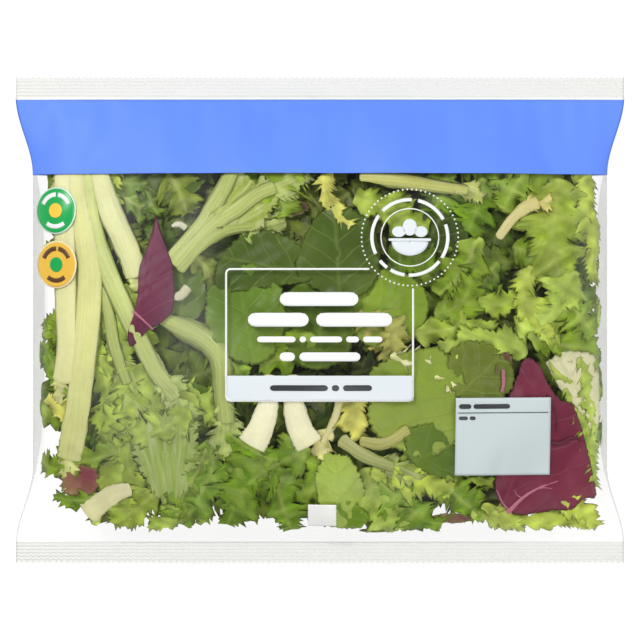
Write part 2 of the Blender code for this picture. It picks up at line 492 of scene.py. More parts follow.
def onFilm(x, y, lift):
    # the front film's point, moved along its normal, which comes from the slopes between near points
    step = 0.4 * mm
    slopeX = (filmFront(x + step, y) - filmFront(x - step, y)) / (2 * step)
    slopeY = (filmFront(x, y + step) - filmFront(x, y - step)) / (2 * step)
    length = np.sqrt(1 + slopeX ** 2 + slopeY ** 2)
    z = filmFront(x, y)
    return np.stack([x - lift * slopeX / length, y - lift * slopeY / length, z + lift / length], axis=-1)


def inkShape(x, y, level=0):
    # x and y are grids in mm; gives the points and faces of one thin closed patch of ink
    x, y = np.broadcast_arrays(np.asarray(x, float) * mm, np.asarray(y, float) * mm)
    lift = printLook["lift"] * (1 + level)
    points = np.stack([onFilm(x, y, lift), onFilm(x, y, lift - printLook["thickness"])])
    return points.reshape(-1, 3), slabFaces(*x.shape)


def rectangle(left, right, bottom, top, columns=24, rows=16):
    # even steps between the sides, and between bottom and top
    return np.linspace(left, right, columns)[None, :], np.linspace(bottom, top, rows)[:, None]


def bar(left, right, bottom, top, columns=14, rows=6):
    # a bar with round ends: its half height follows a circle within half a height of each end
    a = np.linspace(0, 1, columns)[None, :]
    b = np.linspace(-1, 1, rows)[:, None]
    half = (top - bottom) / 2
    x = left + (right - left) * (0.5 - 0.5 * np.cos(math.pi * a))
    toEnd = np.minimum(x - left, right - x)
    roundness = np.sqrt(np.clip(1 - (1 - np.minimum(toEnd / half, 1)) ** 2, 0.01, 1))
    return x, (bottom + top) / 2 + b * half * roundness


def disc(x0, y0, radiusX, radiusY, steps=14):
    # a square grid pressed into a circle: x times root(1 - y*y/2), and y the same way round
    a = np.linspace(-1, 1, steps)[None, :]
    b = np.linspace(-1, 1, steps)[:, None]
    return x0 + radiusX * a * np.sqrt(1 - b * b / 2), y0 + radiusY * b * np.sqrt(1 - a * a / 2)


def arcBar(x0, y0, inner, outer, start, end, steps=12):
    # a curved bar: the middle plus r times (cos, sin), angles in degrees from the right, counted upwards
    angle = np.radians(np.linspace(start, end, steps))[None, :]
    r = np.linspace(outer, inner, 3)[:, None]
    return x0 + r * np.cos(angle), y0 + r * np.sin(angle)


def inkPiece(name, shapes, material, level=0):
    # many patches of one ink, joined into one piece
    points, faces, count = [], [], 0
    for x, y in shapes:
        shapePoints, shapeFaces = inkShape(x, y, level)
        points.append(shapePoints)
        faces.append(shapeFaces + count)
        count += len(shapePoints)
    piece = buildPiece(name, np.concatenate(points), [np.concatenate(faces)], material)
    return rideOnBag(piece)


def tubeBand(name, bottom, top, rows, material):
    # a printed band right round the bag: the film's own loops, lifted off its front, folds and back
    columns = 150
    y = np.linspace(bottom, top, rows)[:, None] * mm
    across = spread(columns)[None, :]
    lift = printLook["lift"]
    x = across * halfWidth(y)
    yy = y + 0 * x
    front = np.stack([x, yy, filmFront(x, yy) + lift], axis=-1)
    back = np.stack([x, yy, filmBack(x, yy) - lift], axis=-1)[:, -2:0:-1]
    back[..., 2] = np.maximum(back[..., 2], 0.0)
    outward = np.sign(front[:, [0, -1], 0]) * lift
    front[:, [0, -1], 0] += outward
    front[:, [0, -1], 2] = bagForm["seamLevel"]
    loop = np.concatenate([front, back], axis=1)
    centre = np.array([0, 0, bagForm["seamLevel"]])
    inner = loop - printLook["thickness"] * np.sign(loop - centre) * np.array([0.3, 0, 1.0])
    rowsCount, around = loop.shape[:2]
    shell = gridFaces(rowsCount, around, closed=True)
    size = rowsCount * around
    edge = np.arange(around)
    after = (edge + 1) % around
    firstRim = np.stack([edge, edge + size, after + size, after], axis=1)
    last = size - around
    lastRim = np.stack([after + last, after + last + size, edge + last + size, edge + last], axis=1)
    faces = np.concatenate([shell, shell[:, ::-1] + size, firstRim, lastRim])
    piece = buildPiece(name, np.stack([loop, inner]), [faces], material)
    return rideOnBag(piece)


blueInk = printMaterial("blueInk", printLook["blue"], 0.6)
whiteInk = printMaterial("whiteInk", printLook["white"])
tubeBand("band_blue", 59.6, 90.5, 60, blueInk)
tubeBand("band_white", 90.6, 91.5, 5, whiteInk)

emblem = {"x": 36.2, "y": 33.3, "dotRing": 19.5, "dots": 66, "dotSize": 0.36,
          "words": (14.6, 16.0), "innerRing": 11.4, "line": 0.45}
titleFrame = {"left": -37.8, "right": 37.4, "bottom": -32.5, "top": 20.5, "corner": 1.8, "line": 0.8}


def frameLine():
    # a rounded rectangle carried as a narrow strip, left out where the round emblem lies over it
    radius = titleFrame["corner"]
    left, right = titleFrame["left"] + radius, titleFrame["right"] - radius
    bottom, top = titleFrame["bottom"] + radius, titleFrame["top"] - radius
    path = []
    for index, (x, y) in enumerate([(right, top), (left, top), (left, bottom), (right, bottom)]):
        angle = math.pi / 2 * (index + np.linspace(0, 1, 5))
        path.append(np.stack([x + radius * np.cos(angle), y + radius * np.sin(angle)], axis=1))
    corners = np.concatenate(path + [path[0][:1]])
    pieces = []
    for start, end in zip(corners[:-1], corners[1:]):
        steps = max(2, int(np.hypot(*(end - start)) / 1.2))
        pieces.append(start + (end - start) * np.linspace(0, 1, steps, endpoint=False)[:, None])
    path = np.concatenate(pieces)
    clear = np.hypot(path[:, 0] - emblem["x"], path[:, 1] - emblem["y"]) > emblem["dotRing"] + 0.4
    firstClear = int(np.argmax(clear & ~np.roll(clear, 1)))
    path = np.roll(path, -firstClear, axis=0)[:int(clear.sum())]
    tangent = np.gradient(path, axis=0)
    tangent = tangent / np.linalg.norm(tangent, axis=1, keepdims=True)
    normal = np.stack([tangent[:, 1], -tangent[:, 0]], axis=1)
    sides = np.stack([path + normal * titleFrame["line"] * k for k in (0.5, -0.5)])
    return sides[..., 0], sides[..., 1]


def words(left, right, bottom, top, lengths, gap):
    # bars in place of words, as long as the given letter counts share the line
    unit = (right - left - gap * (len(lengths) - 1)) / sum(lengths)
    shapes, x = [], left
    for length in lengths:
        shapes.append(bar(x, x + unit * length, bottom, top))
        x += unit * length + gap
    return shapes


def arcWords(x0, y0, inner, outer, start, end, lengths, gap):
    # the same on an arc
    unit = (end - start - gap * (len(lengths) - 1)) / sum(lengths)
    shapes, angle = [], start
    for length in lengths:
        shapes.append(arcBar(x0, y0, inner, outer, angle, angle + unit * length))
        angle += unit * length + gap
    return shapes


titleLines = [  # left, right, bottom, top, letters in each word, gap (mm)
    (-16.2, 15.4, 5.6, 11.2, [1], 0), (-29.0, 29.0, -2.7, 2.9, [4, 5], 3.0),
    (-25.3, 25.0, -9.0, -6.6, [6, 1, 5, 2, 3], 1.6), (-16.2, 16.2, -16.6, -13.0, [2, 8], 1.8),
]
whiteShapes = [frameLine()]
for line in titleLines:
    whiteShapes += words(*line)
for spot in np.arange(emblem["dots"]) * 2 * math.pi / emblem["dots"]:
    whiteShapes.append(disc(emblem["x"] + emblem["dotRing"] * math.cos(spot),
                            emblem["y"] + emblem["dotRing"] * math.sin(spot),
                            emblem["dotSize"], emblem["dotSize"], steps=4))
for half in (0, 180):
    whiteShapes.append(arcBar(emblem["x"], emblem["y"], emblem["innerRing"],
                              emblem["innerRing"] + emblem["line"], half, half + 180, steps=36))
whiteShapes += arcWords(emblem["x"], emblem["y"], *emblem["words"], 28, 206, [4, 4, 5], 9)
whiteShapes += arcWords(emblem["x"], emblem["y"], *emblem["words"], 218, 380, [2, 3, 7, 7], 6)


def bowlShapes():
    # a plain bowl of leaves: a half disc, its rim and three round leaves over it
    x0, y0 = emblem["x"], emblem["y"]
    wide, deep, rimWide = 7.4, 5.8, 8.6
    angle = np.linspace(math.pi, 2 * math.pi, 20)[None, :]
    r = np.linspace(1.0, 0.02, 5)[:, None]
    bowl = (x0 + wide * r * np.cos(angle), y0 - 1.6 + deep * r * np.sin(angle))
    rim = bar(x0 - rimWide, x0 + rimWide, y0 - 1.5, y0 - 0.4)
    leaves = [disc(x0 + dx, y0 + dy, rx, ry) for dx, dy, rx, ry in
              ((-4.4, 2.3, 2.7, 2.2), (4.5, 2.3, 2.6, 2.2), (0.0, 4.1, 2.9, 3.4))]
    return [bowl, rim] + leaves


titleBar = rectangle(titleFrame["left"], titleFrame["right"] + 0.2, titleFrame["bottom"], -22.4, 60, 14)
smallSquare = rectangle(-4.9, 6.6, -84.2, -75.2)
datePanel = rectangle(54.7, 93.7, -63.1, -31.4, 40, 34)
darkShapes = words(-20.1, 20.9, -28.5, -26.2, [8, 1, 4], 1.6)  # on the bar, then on the panel
darkShapes += words(56.0, 76.8, -35.8, -33.9, [4, 12], 0.9)
darkShapes += [rectangle(55.6, 92.6, -37.6, -37.3, 40, 2)]
darkShapes += words(56.0, 62.8, -40.3, -38.9, [3, 2], 0.8)
inkPiece("print_white", whiteShapes, whiteInk)
inkPiece("print_bowl", bowlShapes(), printMaterial("bowlInk", printLook["pale"]))
inkPiece("print_bar", [titleBar], printMaterial("paleInk", printLook["pale"]))
inkPiece("print_square", [smallSquare], printMaterial("squareInk", printLook["square"]))
inkPiece("print_panel", [datePanel], printMaterial("panelInk", printLook["panel"], 0.45))
inkPiece("print_dark", darkShapes, printMaterial("darkInk", printLook["ink"]), level=1)


def backPatch(left, right, bottom, top, lift, columns, rows):
    # a flat patch on the inside of the back film: the film's height plus a lift, and a little less
    x, y = rectangle(left, right, bottom, top, columns, rows)
    x, y = np.broadcast_arrays(x * mm, y * mm)
    z = filmBack(x, y)
    points = np.stack([np.stack([x, y, z + lift], axis=-1), np.stack([x, y, z + 0.3 * lift], axis=-1)])
    return points.reshape(-1, 3), slabFaces(*x.shape)


def makeBack():
    points, faces = backPatch(-50, 50, -40, 34, 0.3 * mm, 40, 34)
    panel = buildPiece("back_panel", points, [faces], printMaterial("backInk", printLook["back"]))
    rideOnBag(panel)
    points, faces = backPatch(-6, 6, -60, 90, 0.55 * mm, 6, 60)
    seam, nodes, links, shader = newMaterial("finSeam", printLook["seam"], 0.25)
    shader.inputs["Alpha"].default_value = printLook["seamAlpha"]
    rideOnBag(buildPiece("fin_seam", points, [faces], seam))


makeBack()

badges = [
    {"name": "green", "x": -107.7, "y": 44.6, "wide": 8.5, "tall": 9.6, "face": "green", "rim": "rim",
     "mark": "yellow", "words": "white"},
    {"name": "orange", "x": -107.3, "y": 22.6, "wide": 8.5, "tall": 9.7, "face": "orange", "rim": "cream",
     "mark": "green", "words": "brown"},
]
badgeLook = {"rim": 0.6, "mark": 3.0, "words": (5.6, 7.4), "upper": (24, 156), "lower": (232, 308)}


def makeBadge(badge):
    # a rim, a face on it, a round mark and bars in place of words, all pressed a little narrow
    x0, y0, wide, tall = badge["x"], badge["y"], badge["wide"], badge["tall"]
    squeeze = wide / tall
    rim, mark = badgeLook["rim"], badgeLook["mark"]
    bars = arcWords(x0, y0, *badgeLook["words"], *badgeLook["upper"], [6, 7], 9)
    bars += arcWords(x0, y0, *badgeLook["words"], *badgeLook["lower"], [1], 9)
    layers = [("rim", [disc(x0, y0, wide, tall, 24)], 0),
              ("face", [disc(x0, y0, wide - rim, tall - rim, 24)], 1),
              ("mark", [disc(x0, y0, mark * squeeze, mark)], 2),
              ("words", [(x0 + (x - x0) * squeeze, y) for x, y in bars], 2)]
    for layer, shapes, level in layers:
        ink = printMaterial(badge["name"] + layer.capitalize() + "Ink", printLook[badge[layer]])
        inkPiece("badge_" + layer + "_" + badge["name"], shapes, ink, level)


for badge in badges:
    makeBadge(badge)
print("print laid on the film")


def smoothPath(points, steps):
    # a Catmull-Rom curve through the given points; steps is a count of even steps, or the steps, 0 to 1
    p = np.asarray(points, dtype=float)
    p = np.vstack([2 * p[0] - p[1], p, 2 * p[-1] - p[-2]])
    t = (np.linspace(0, 1, steps) if np.isscalar(steps) else steps) * (len(points) - 1)
    i = np.minimum(t.astype(int), len(points) - 2)
    f = (t - i)[:, None]
    a, b, c, d = p[i], p[i + 1], p[i + 2], p[i + 3]
    square = 2 * a - 5 * b + 4 * c - d
    cube = 3 * b - a - 3 * c + d
    return 0.5 * (2 * b + (c - a) * f + square * f ** 2 + cube * f ** 3)


def keepInside(x, y, edge=0.985):
    # eases points that would leave the bag back under its outline, in mm: past 90 % of the length and 93 %
    # of the width, a tanh takes the place of the straight measure
    limitY = (bodyHalf / mm) * 0.96
    y = np.where(np.abs(y) > 0.9 * limitY,
                 np.sign(y) * limitY * (0.9 + 0.1 * np.tanh((np.abs(y) / limitY - 0.9) / 0.1)), y)
    half = halfWidth(y * mm) / mm * edge
    u = np.abs(x) / half
    x = np.where(u > 0.93, np.sign(x) * half * (0.93 + 0.07 * np.tanh((u - 0.93) / 0.07)), x)
    return x, y


def softBelow(value, limit, blend=0.6):
    # the lower of the two with a rounded corner, as a leaf pressed flat against the film:
    # the limit less blend times log(1 + e to the gap over blend)
    return limit - blend * np.logaddexp(0.0, (limit - value) / blend)


filmGap, fullBag = 0.45, 42.0  # mm between leaf and film; bag thickness at which depths are whole


def drape(x, y, height, depth, facing):
    # a leaf's flat place (mm), its own relief and its depth under the film give its place in the bag:
    # film height less depth plus relief, kept softly between the two films
    x, y = keepInside(x, y)
    front = filmFront(x * mm, y * mm) / mm - filmGap
    back = filmBack(x * mm, y * mm) / mm + filmGap
    depth = depth * np.clip((front - back) / fullBag, 0.1, 1.0)
    if facing > 0:
        z = softBelow(front - depth + height, front)
        z = -softBelow(-z, -back)
    else:
        z = -softBelow(-(back + depth - height), -back)
        z = softBelow(z, front)
    return np.stack([x, y, z], axis=-1) * mm


class LeafPile:
    # gathers the arrays of many leaves, to be joined into one piece
    def __init__(self):
        self.points, self.quads, self.triangles, self.colours, self.plans = [], [], [], [], []
        self.count = 0

    def add(self, points, quads, triangles, colours, plans, facing):
        if facing < 0:
            quads, triangles = quads[:, ::-1], triangles[:, ::-1]
        self.points.append(points.reshape(-1, 3))
        self.quads.append(quads + self.count)
        self.triangles.append(triangles + self.count)
        self.colours.append(colours.reshape(-1, 3))
        self.plans.append(plans.reshape(-1, 2))
        self.count += len(self.points[-1])

    def build(self, name, material):
        piece = buildPiece(name, np.concatenate(self.points),
                           [np.concatenate(self.quads), np.concatenate(self.triangles)], material,
                           np.clip(np.concatenate(self.colours), 0.0, 1.0), np.concatenate(self.plans))
        print(name, sum(len(q) for q in self.quads) * 2 + sum(len(t) for t in self.triangles), "triangles")
        return rideOnBag(piece)


def tubeBlock(tubes, rows, loop):
    # faces of many closed tubes at once; each has rows x loop points, then a base point and a tip point
    size = rows * loop + 2
    quads = gridFaces(rows, loop, closed=True)
    edge = np.arange(loop)
    after = (edge + 1) % loop
    base = np.stack([np.full(loop, rows * loop), after, edge], axis=1)
    last = (rows - 1) * loop
    tip = np.stack([np.full(loop, rows * loop + 1), edge + last, after + last], axis=1)
    shift = np.arange(tubes)[:, None, None] * size
    return ((quads[None] + shift).reshape(-1, 4), (np.concatenate([base, tip])[None] + shift).reshape(-1, 3))


def closeTubes(values):
    # adds the base and tip entries, each the mean of its end loop; values are tubes x rows x loop x n
    tubes, rows, loop, size = values.shape
    flat = values.reshape(tubes, rows * loop, size)
    return np.concatenate([flat, values[:, :1].mean(axis=2), values[:, -1:].mean(axis=2)], axis=1)


tones = {  # leaf colours, as seen in plain light
    "escarole": linear(82, 112, 10), "fresh": linear(106, 144, 8), "mid": linear(120, 150, 22),
    "soft": linear(144, 166, 48), "haze": linear(168, 192, 78), "lime": linear(182, 200, 74),
    "yellow": linear(210, 206, 102), "olive": linear(100, 116, 26), "deep": linear(50, 74, 8),
    "cream": linear(238, 234, 176), "white": linear(252, 249, 218), "rib": linear(190, 202, 108),
    "khaki": linear(176, 174, 92), "straw": linear(222, 218, 134),
}


def mixColour(first, second, share):
    return np.asarray(first) + (np.asarray(second) - np.asarray(first)) * share[..., None]


# places across a leaf, -1 and 1 at its rims
ribTurns = np.array([-1.0, -1.0, -0.8, -0.5, -0.2, 0.2, 0.5, 0.8, 1.0, 1.0, 0.0])
onWeb = np.array([True] + [False] * 8 + [True, False])  # the rib's web on both sides; the last is under it
sheetTurns = np.array([-1.0, -0.78, -0.52, -0.26, 0.0, 0.26, 0.52, 0.78, 1.0, 0.55, 0.0, -0.55])
sheetUnder = np.array([0.0] * 9 + [1.0] * 3)  # 1 on the underside's three places


def addSheet(pile, rng, path, width, facing=1, **changes):
    # one wide jagged leaf along a midrib path. Half width: a sine's bulge over the stalk, cut by a cosine's
    # big lobes and again by small ones, with a zigzag rim of swept teeth. Height: sine ruffles that grow
    # towards the rim, crossed sine crumples and a bell over the midrib
    look = {"blade": tones["mid"], "edge": tones["soft"], "rib": tones["rib"], "ribWidth": (3.0, 0.6),
            "lobes": 3.5, "lobeDepth": 0.45, "cuts": 2.7, "cutDepth": 0.35, "tooth": 2.0, "toothStep": 1.8,
            "sweep": 0.35, "ruffle": 1.6, "ruffleLength": 10.0, "depth": (3.0, 3.0), "tone": 1.0,
            "edgeShow": 0.35, "ribShow": 0.8, "branchShow": 0.5, "stalk": 0.3, "widest": 0.8, "skew": 0.0,
            "variety": 0.2, "lean": 1.0, "crumple": 1.0, "crumpleLength": 9.0}
    look.update(changes)
    line = smoothPath(path, 200)
    length = np.linalg.norm(np.diff(line, axis=0), axis=1).sum()
    rows = 2 * max(8, int(length / look["toothStep"]))
    line = smoothPath(path, rows)
    along = np.gradient(line, axis=0)
    along = along / np.linalg.norm(along, axis=1, keepdims=True)
    normal = np.stack([along[:, 1], -along[:, 0]], axis=1)
    s = np.linspace(0, 1, rows)
    isTip = np.arange(rows) % 2 == 1
    bulge = np.sin(math.pi * np.clip(s, 0.001, 0.999) ** look["widest"]) ** 0.6
    envelope = look["stalk"] + (1 - look["stalk"]) * bulge
    sides, jags, lobeLines = [], [], []
    for k in (0, 1):
        phase = rng.uniform(0, 2 * math.pi)
        wander = 0.8 * np.sin(2.3 * math.pi * s + rng.uniform(0, 6.3))
        turns = 2 * math.pi * look["lobes"] * s + phase + wander
        lobes = 0.5 + 0.5 * np.cos(turns)
        cuts = 0.5 + 0.5 * np.cos(look["cuts"] * turns + rng.uniform(0, 6.3))
        share = look["lean"] if k else 2 - look["lean"]
        half = 0.5 * width * share * envelope * (1 - look["lobeDepth"] * (1 - lobes) ** 1.6)
        half = half * (1 - look["cutDepth"] * (1 - cuts) ** 1.5)
        big = np.where(rng.random(rows) < 0.35, rng.uniform(1.2, 2.2, rows), rng.uniform(0.2, 0.9, rows))
        jag = np.where(isTip, big, -rng.uniform(0.0, 0.4, rows)) * look["tooth"]
        jags.append(jag * smoothStep((s - 0.04) / 0.15))
        sides.append(np.maximum(half, 0.4))
        lobeLines.append(np.exp(-(1 - lobes) / 0.16) + 0.5 * np.exp(-(1 - cuts) / 0.10))
    t = sheetTurns[None, :]
    reach = np.where(t < 0, sides[0][:, None], sides[1][:, None])
    branch = np.where(t < 0, lobeLines[0][:, None], lobeLines[1][:, None]) * (1 - np.abs(t)) ** 0.8
    jag = np.where(t < 0, jags[0][:, None], jags[1][:, None]) * np.abs(t) ** 8
    out = t * reach + np.sign(t) * np.maximum(jag, 0.2 - reach)
    sweep = np.abs(t) ** 1.4 * look["sweep"] * reach + 0.9 * np.maximum(jag, 0.0)
    x = line[:, 0:1] + normal[:, 0:1] * out + along[:, 0:1] * sweep
    y = line[:, 1:2] + normal[:, 1:2] * out + along[:, 1:2] * sweep
    turn = 2 * math.pi / look["ruffleLength"] * length
    phase = rng.uniform(0, 2 * math.pi, 4)
    wave = np.where(t < 0, np.sin(turn * s[:, None] + phase[0]), np.sin(1.13 * turn * s[:, None] + phase[1]))
    fine = np.sin(2.3 * turn * s[:, None] + 3.0 * t + phase[2]) * 0.4
    ribHalf = 0.5 * (look["ribWidth"][0] + (look["ribWidth"][1] - look["ribWidth"][0]) * s ** 0.7)[:, None]
    curl = np.sin(5.3 * turn * s[:, None] + 9.0 * np.sin(0.7 * turn * s[:, None]) + phase[1]) * np.abs(t) ** 5
    height = look["ruffle"] * (np.abs(t) ** 1.3 * (wave + fine) + 0.45 * curl)
    fold = 2 * math.pi / look["crumpleLength"]
    crumple = np.sin(fold * x + 1.7 * np.sin(0.6 * fold * y + phase[0])) * np.sin(0.9 * fold * y + phase[1])
    height = height + look["crumple"] * crumple * np.clip(np.abs(t) * 2.0, 0, 1)
    height = softBelow(height + look["skew"] * t, 0.9, 0.5)
    height = height + 0.35 * ribHalf * np.exp(-(out / ribHalf) ** 2) + 0.5 * branch
    height = height - sheetUnder * (0.35 + 0.7 * ribHalf * (np.abs(t) < 0.1))
    depth = look["depth"][0] + (look["depth"][1] - look["depth"][0]) * s[:, None]
    points = drape(x, y, height, depth, facing)[None]
    onRib = np.exp(-(out / ribHalf) ** 4) * (1 - 0.6 * s[:, None]) * look["ribShow"]
    paleBase = np.clip(1 - s[:, None] / 0.3, 0, 1) * 0.5 * look["ribShow"]
    toneAndPaintedShade = 1 + look["variety"] * np.sin(0.35 * turn * s[:, None] + phase[3]) * np.sin(2.2 * t + phase[0])
    # this line brightens raised ruffles and crumples and darkens their hollows: painted shade and light, on
    # top of the leaf's own changes of tone
    toneAndPaintedShade = toneAndPaintedShade * (1 + 0.22 * wave * np.abs(t)) * (1 + 0.26 * crumple)
    edgeShare = np.clip(np.abs(t) ** 3 * look["edgeShow"], 0, 1) + 0 * s[:, None]
    skin = mixColour(look["blade"], look["edge"], edgeShare)
    pale = np.maximum(np.maximum(onRib, paleBase), np.clip(branch * look["branchShow"], 0, 0.8))
    skin = mixColour(skin, look["rib"], np.clip(pale, 0, 1))
    colours = (skin * (look["tone"] * toneAndPaintedShade)[..., None])[None]
    plans = np.stack([out / 100.0, np.broadcast_to(s[:, None] * length / 100.0, out.shape)], axis=-1)[None]
    quads, triangles = tubeBlock(1, rows, len(sheetTurns))
    pile.add(closeTubes(points), quads, triangles, closeTubes(colours), closeTubes(plans), facing)


def addRib(pile, rng, path, facing=1, **changes):
    # a rib along a path: half a circle's root across, rounded ends, and a narrow flat web on both sides;
    # a curly leaf may carry on from its far end
    look = {"rib": tones["rib"], "blade": tones["mid"], "ribWidth": (3.4, 0.9), "ribHeight": 0.36, "web": 1.6,
            "leafy": 0, "start": 0.12, "depth": (3.0, 1.5), "tone": 1.0, "roundness": 0.5}
    look.update(changes)
    rows = 34
    s = 0.5 - 0.5 * np.cos(math.pi * np.linspace(0, 1, rows))
    line = smoothPath(path, s)
    along = np.gradient(line, axis=0)
    size = np.linalg.norm(along, axis=1, keepdims=True)
    along = along / size
    normal = np.stack([along[:, 1], -along[:, 0]], axis=1)
    ribHalf = 0.5 * (look["ribWidth"][0] + (look["ribWidth"][1] - look["ribWidth"][0]) * s ** 0.8)
    toEnd = np.minimum(s, 1 - s) * size.sum() / (look["roundness"] * ribHalf)
    ending = np.sqrt(np.clip(1 - (1 - np.minimum(toEnd, 1)) ** 2, 0.02, 1))
    ribHalf = ribHalf * ending
    webHalf = ribHalf + ending * look["web"] * smoothStep((s - look["start"] * 0.5) / 0.3) * (1 - 0.5 * s)
    depthLine = look["depth"][0] + (look["depth"][1] - look["depth"][0]) * s
    reach = np.where(onWeb, webHalf[:, None] * (1 + 0.04 * rng.normal(size=(rows, 1))), ribHalf[:, None])
    out = ribTurns * reach
    x = line[:, 0:1] + normal[:, 0:1] * out
    y = line[:, 1:2] + normal[:, 1:2] * out
    crown = look["ribHeight"] * ribHalf[:, None] * np.sqrt(np.clip(1 - ribTurns ** 2, 0, 1))
    height = np.where(onWeb, -0.2, crown)
    height[:, -1] = -0.5 * ribHalf - 0.3
    points = drape(x, y, height, depthLine[:, None], facing)[None]
    share = np.where(onWeb, 0.15, 1.0) * np.ones((rows, 1)) * (1 - 0.55 * s[:, None]) ** 0.7
    colours = mixColour(look["blade"], look["rib"], np.clip(share, 0, 1))[None] * look["tone"]
    lengthwise = np.broadcast_to(np.cumsum(size)[:, None] / 100.0, out.shape)
    plans = np.stack([out / 100.0, lengthwise], axis=-1)[None]
    quads, triangles = tubeBlock(1, rows, len(ribTurns))
    pile.add(closeTubes(points), quads, triangles, closeTubes(colours), closeTubes(plans), facing)
    if look["leafy"]:
        ends = np.asarray(path[-2:], float)
        onward = (ends[1] - ends[0]) / np.linalg.norm(ends[1] - ends[0])
        start = ends[1] - 0.6 * look["leafy"] * onward
        tip = ends[1] + 0.7 * look["leafy"] * onward + rng.normal(0, 2.0, 2)
        below = look["depth"][1]
        addSheet(pile, rng, [start, ends[1], tip], look["leafy"], facing, blade=look["blade"],
                 edge=look["blade"], rib=look["rib"], depth=(below + 0.5, below + 1.0), lobes=2.0,
                 ribWidth=(look["ribWidth"][1] * 0.7, 0.6), tooth=1.2)


def addBroadLeaf(pile, rng, outline, axis, facing=1, **changes):
    # a broad blade, a thin closed shell: rings run from a middle point out to a smooth toothed outline, its
    # height crossed sine waves of two sizes and a rim that curls as a sine round it; a fan adds pleats
    look = {"skin": tones["mid"], "rimColour": tones["haze"], "rimShow": 0.25, "baseColour": tones["rib"],
            "baseShow": 0.3, "depth": (2.0, 2.0), "wave": 0.8, "waveLength": 26.0, "rimCurl": 0.8, "jag": 0.5,
            "jagLength": 3.4, "tone": 1.0, "spokes": 120, "rings": 12, "puff": 0.25, "fan": 0,
            "thickness": 0.45}
    look.update(changes)
    spokes, rings = look["spokes"], look["rings"]
    points = np.asarray(outline, float)
    closed = smoothPath(np.vstack([points, points[:1]]), spokes + 1)[:-1]
    centre = points.mean(axis=0)
    outward = closed - centre
    outward = outward / np.linalg.norm(outward, axis=1, keepdims=True)
    length = np.cumsum(np.linalg.norm(np.roll(closed, -1, axis=0) - closed, axis=1))
    teeth = (length / look["jagLength"]) % 1.0
    jag = look["jag"] * (teeth - 0.5 + rng.normal(0, 0.25, spokes))
    closed = closed + outward * jag[:, None]
    r = np.linspace(0, 1, rings + 1)[1:, None, None] ** 0.85
    flat = centre + (closed[None] - centre) * r
    base, tip = np.asarray(axis[0], float), np.asarray(axis[1], float)
    span = np.linalg.norm(tip - base)
    direction = (tip - base) / span
    sideways = np.array([direction[1], -direction[0]])
    a = (flat - base) @ direction
    b = (flat - base) @ sideways
    turn = 2 * math.pi / look["waveLength"]
    phase = rng.uniform(0, 2 * math.pi, 4)
    height = look["wave"] * (np.sin(turn * a + phase[0]) * np.cos(0.8 * turn * b + phase[1]))
    height = height + look["puff"] * np.sin(3.1 * turn * a + phase[2]) * np.sin(3.6 * turn * b + phase[3])
    rim = r[..., 0] ** 5
    around = np.linspace(0, 2 * math.pi, spokes, endpoint=False)[None, :]
    height = height + look["rimCurl"] * rim * np.sin(9 * around + 2 * np.sin(2 * around + phase[0]))
    swing = np.arctan2(b, a + 0.25 * span)
    pleat = (0.5 + 0.5 * np.cos(look["fan"] * swing)) ** 3 if look["fan"] else 0 * a
    height = height + 0.9 * pleat
    depth = look["depth"][0] + (look["depth"][1] - look["depth"][0]) * a / span
    thick = look["thickness"] * (1 - r[..., 0] ** 4) + 0 * around
    top = drape(flat[..., 0], flat[..., 1], height, depth, facing)
    bottom = drape(flat[..., 0], flat[..., 1], height - thick, depth, facing)[:-1]
    midHeight, midDepth = height[:1].mean(axis=1), depth[:1].mean(axis=1)
    middleTop = drape(centre[0:1], centre[1:2], midHeight, midDepth, facing)
    middleBottom = drape(centre[0:1], centre[1:2], midHeight - look["thickness"], midDepth, facing)
    share = np.clip(1 - a / span, 0, 1) * look["baseShow"]
    skin = mixColour(np.asarray(look["skin"]), look["rimColour"], rim * look["rimShow"] + 0 * around)
    share = np.clip(np.maximum(share, 0.6 * pleat * (1 - 0.6 * a / span)), 0, 1)
    skin = mixColour(skin, look["baseColour"], share) * look["tone"]
    plan = np.stack([b / 100.0, a / 100.0], axis=-1)
    if look["fan"]:
        plan = np.stack([0.16 * swing, np.hypot(a, b) / 100.0], axis=-1)
    size = rings * spokes
    topFaces = gridFaces(rings, spokes, closed=True)[:, ::-1]
    lower = gridFaces(rings - 1, spokes, closed=True) + size
    edge = np.arange(spokes)
    after = (edge + 1) % spokes
    rimTop = (rings - 1) * spokes
    rimLow = size + (rings - 2) * spokes
    wall = np.stack([edge + rimLow, after + rimLow, after + rimTop, edge + rimTop], axis=1)
    topPole = size + (rings - 1) * spokes
    capTop = np.stack([np.full(spokes, topPole), edge, after], axis=1)
    capLow = np.stack([np.full(spokes, topPole + 1), after + size, edge + size], axis=1)
    quads = np.concatenate([topFaces, lower, wall])
    triangles = np.concatenate([capTop, capLow])
    onward = np.roll(closed, -1, axis=0)
    if np.sum(closed[:, 0] * onward[:, 1] - onward[:, 0] * closed[:, 1]) <= 0:  # outline given clockwise
        quads, triangles = quads[:, ::-1], triangles[:, ::-1]
    allPoints = np.concatenate([top.reshape(-1, 3), bottom.reshape(-1, 3), middleTop, middleBottom])

    def bothSides(values):
        # the top's values, the underside's, and one for each middle point
        size = values.shape[-1]
        under = values[:-1].reshape(-1, size)
        return np.concatenate([values.reshape(-1, size), under, values[0, :1], values[0, :1]])

    pile.add(allPoints, quads, triangles, bothSides(skin), bothSides(plan), facing)


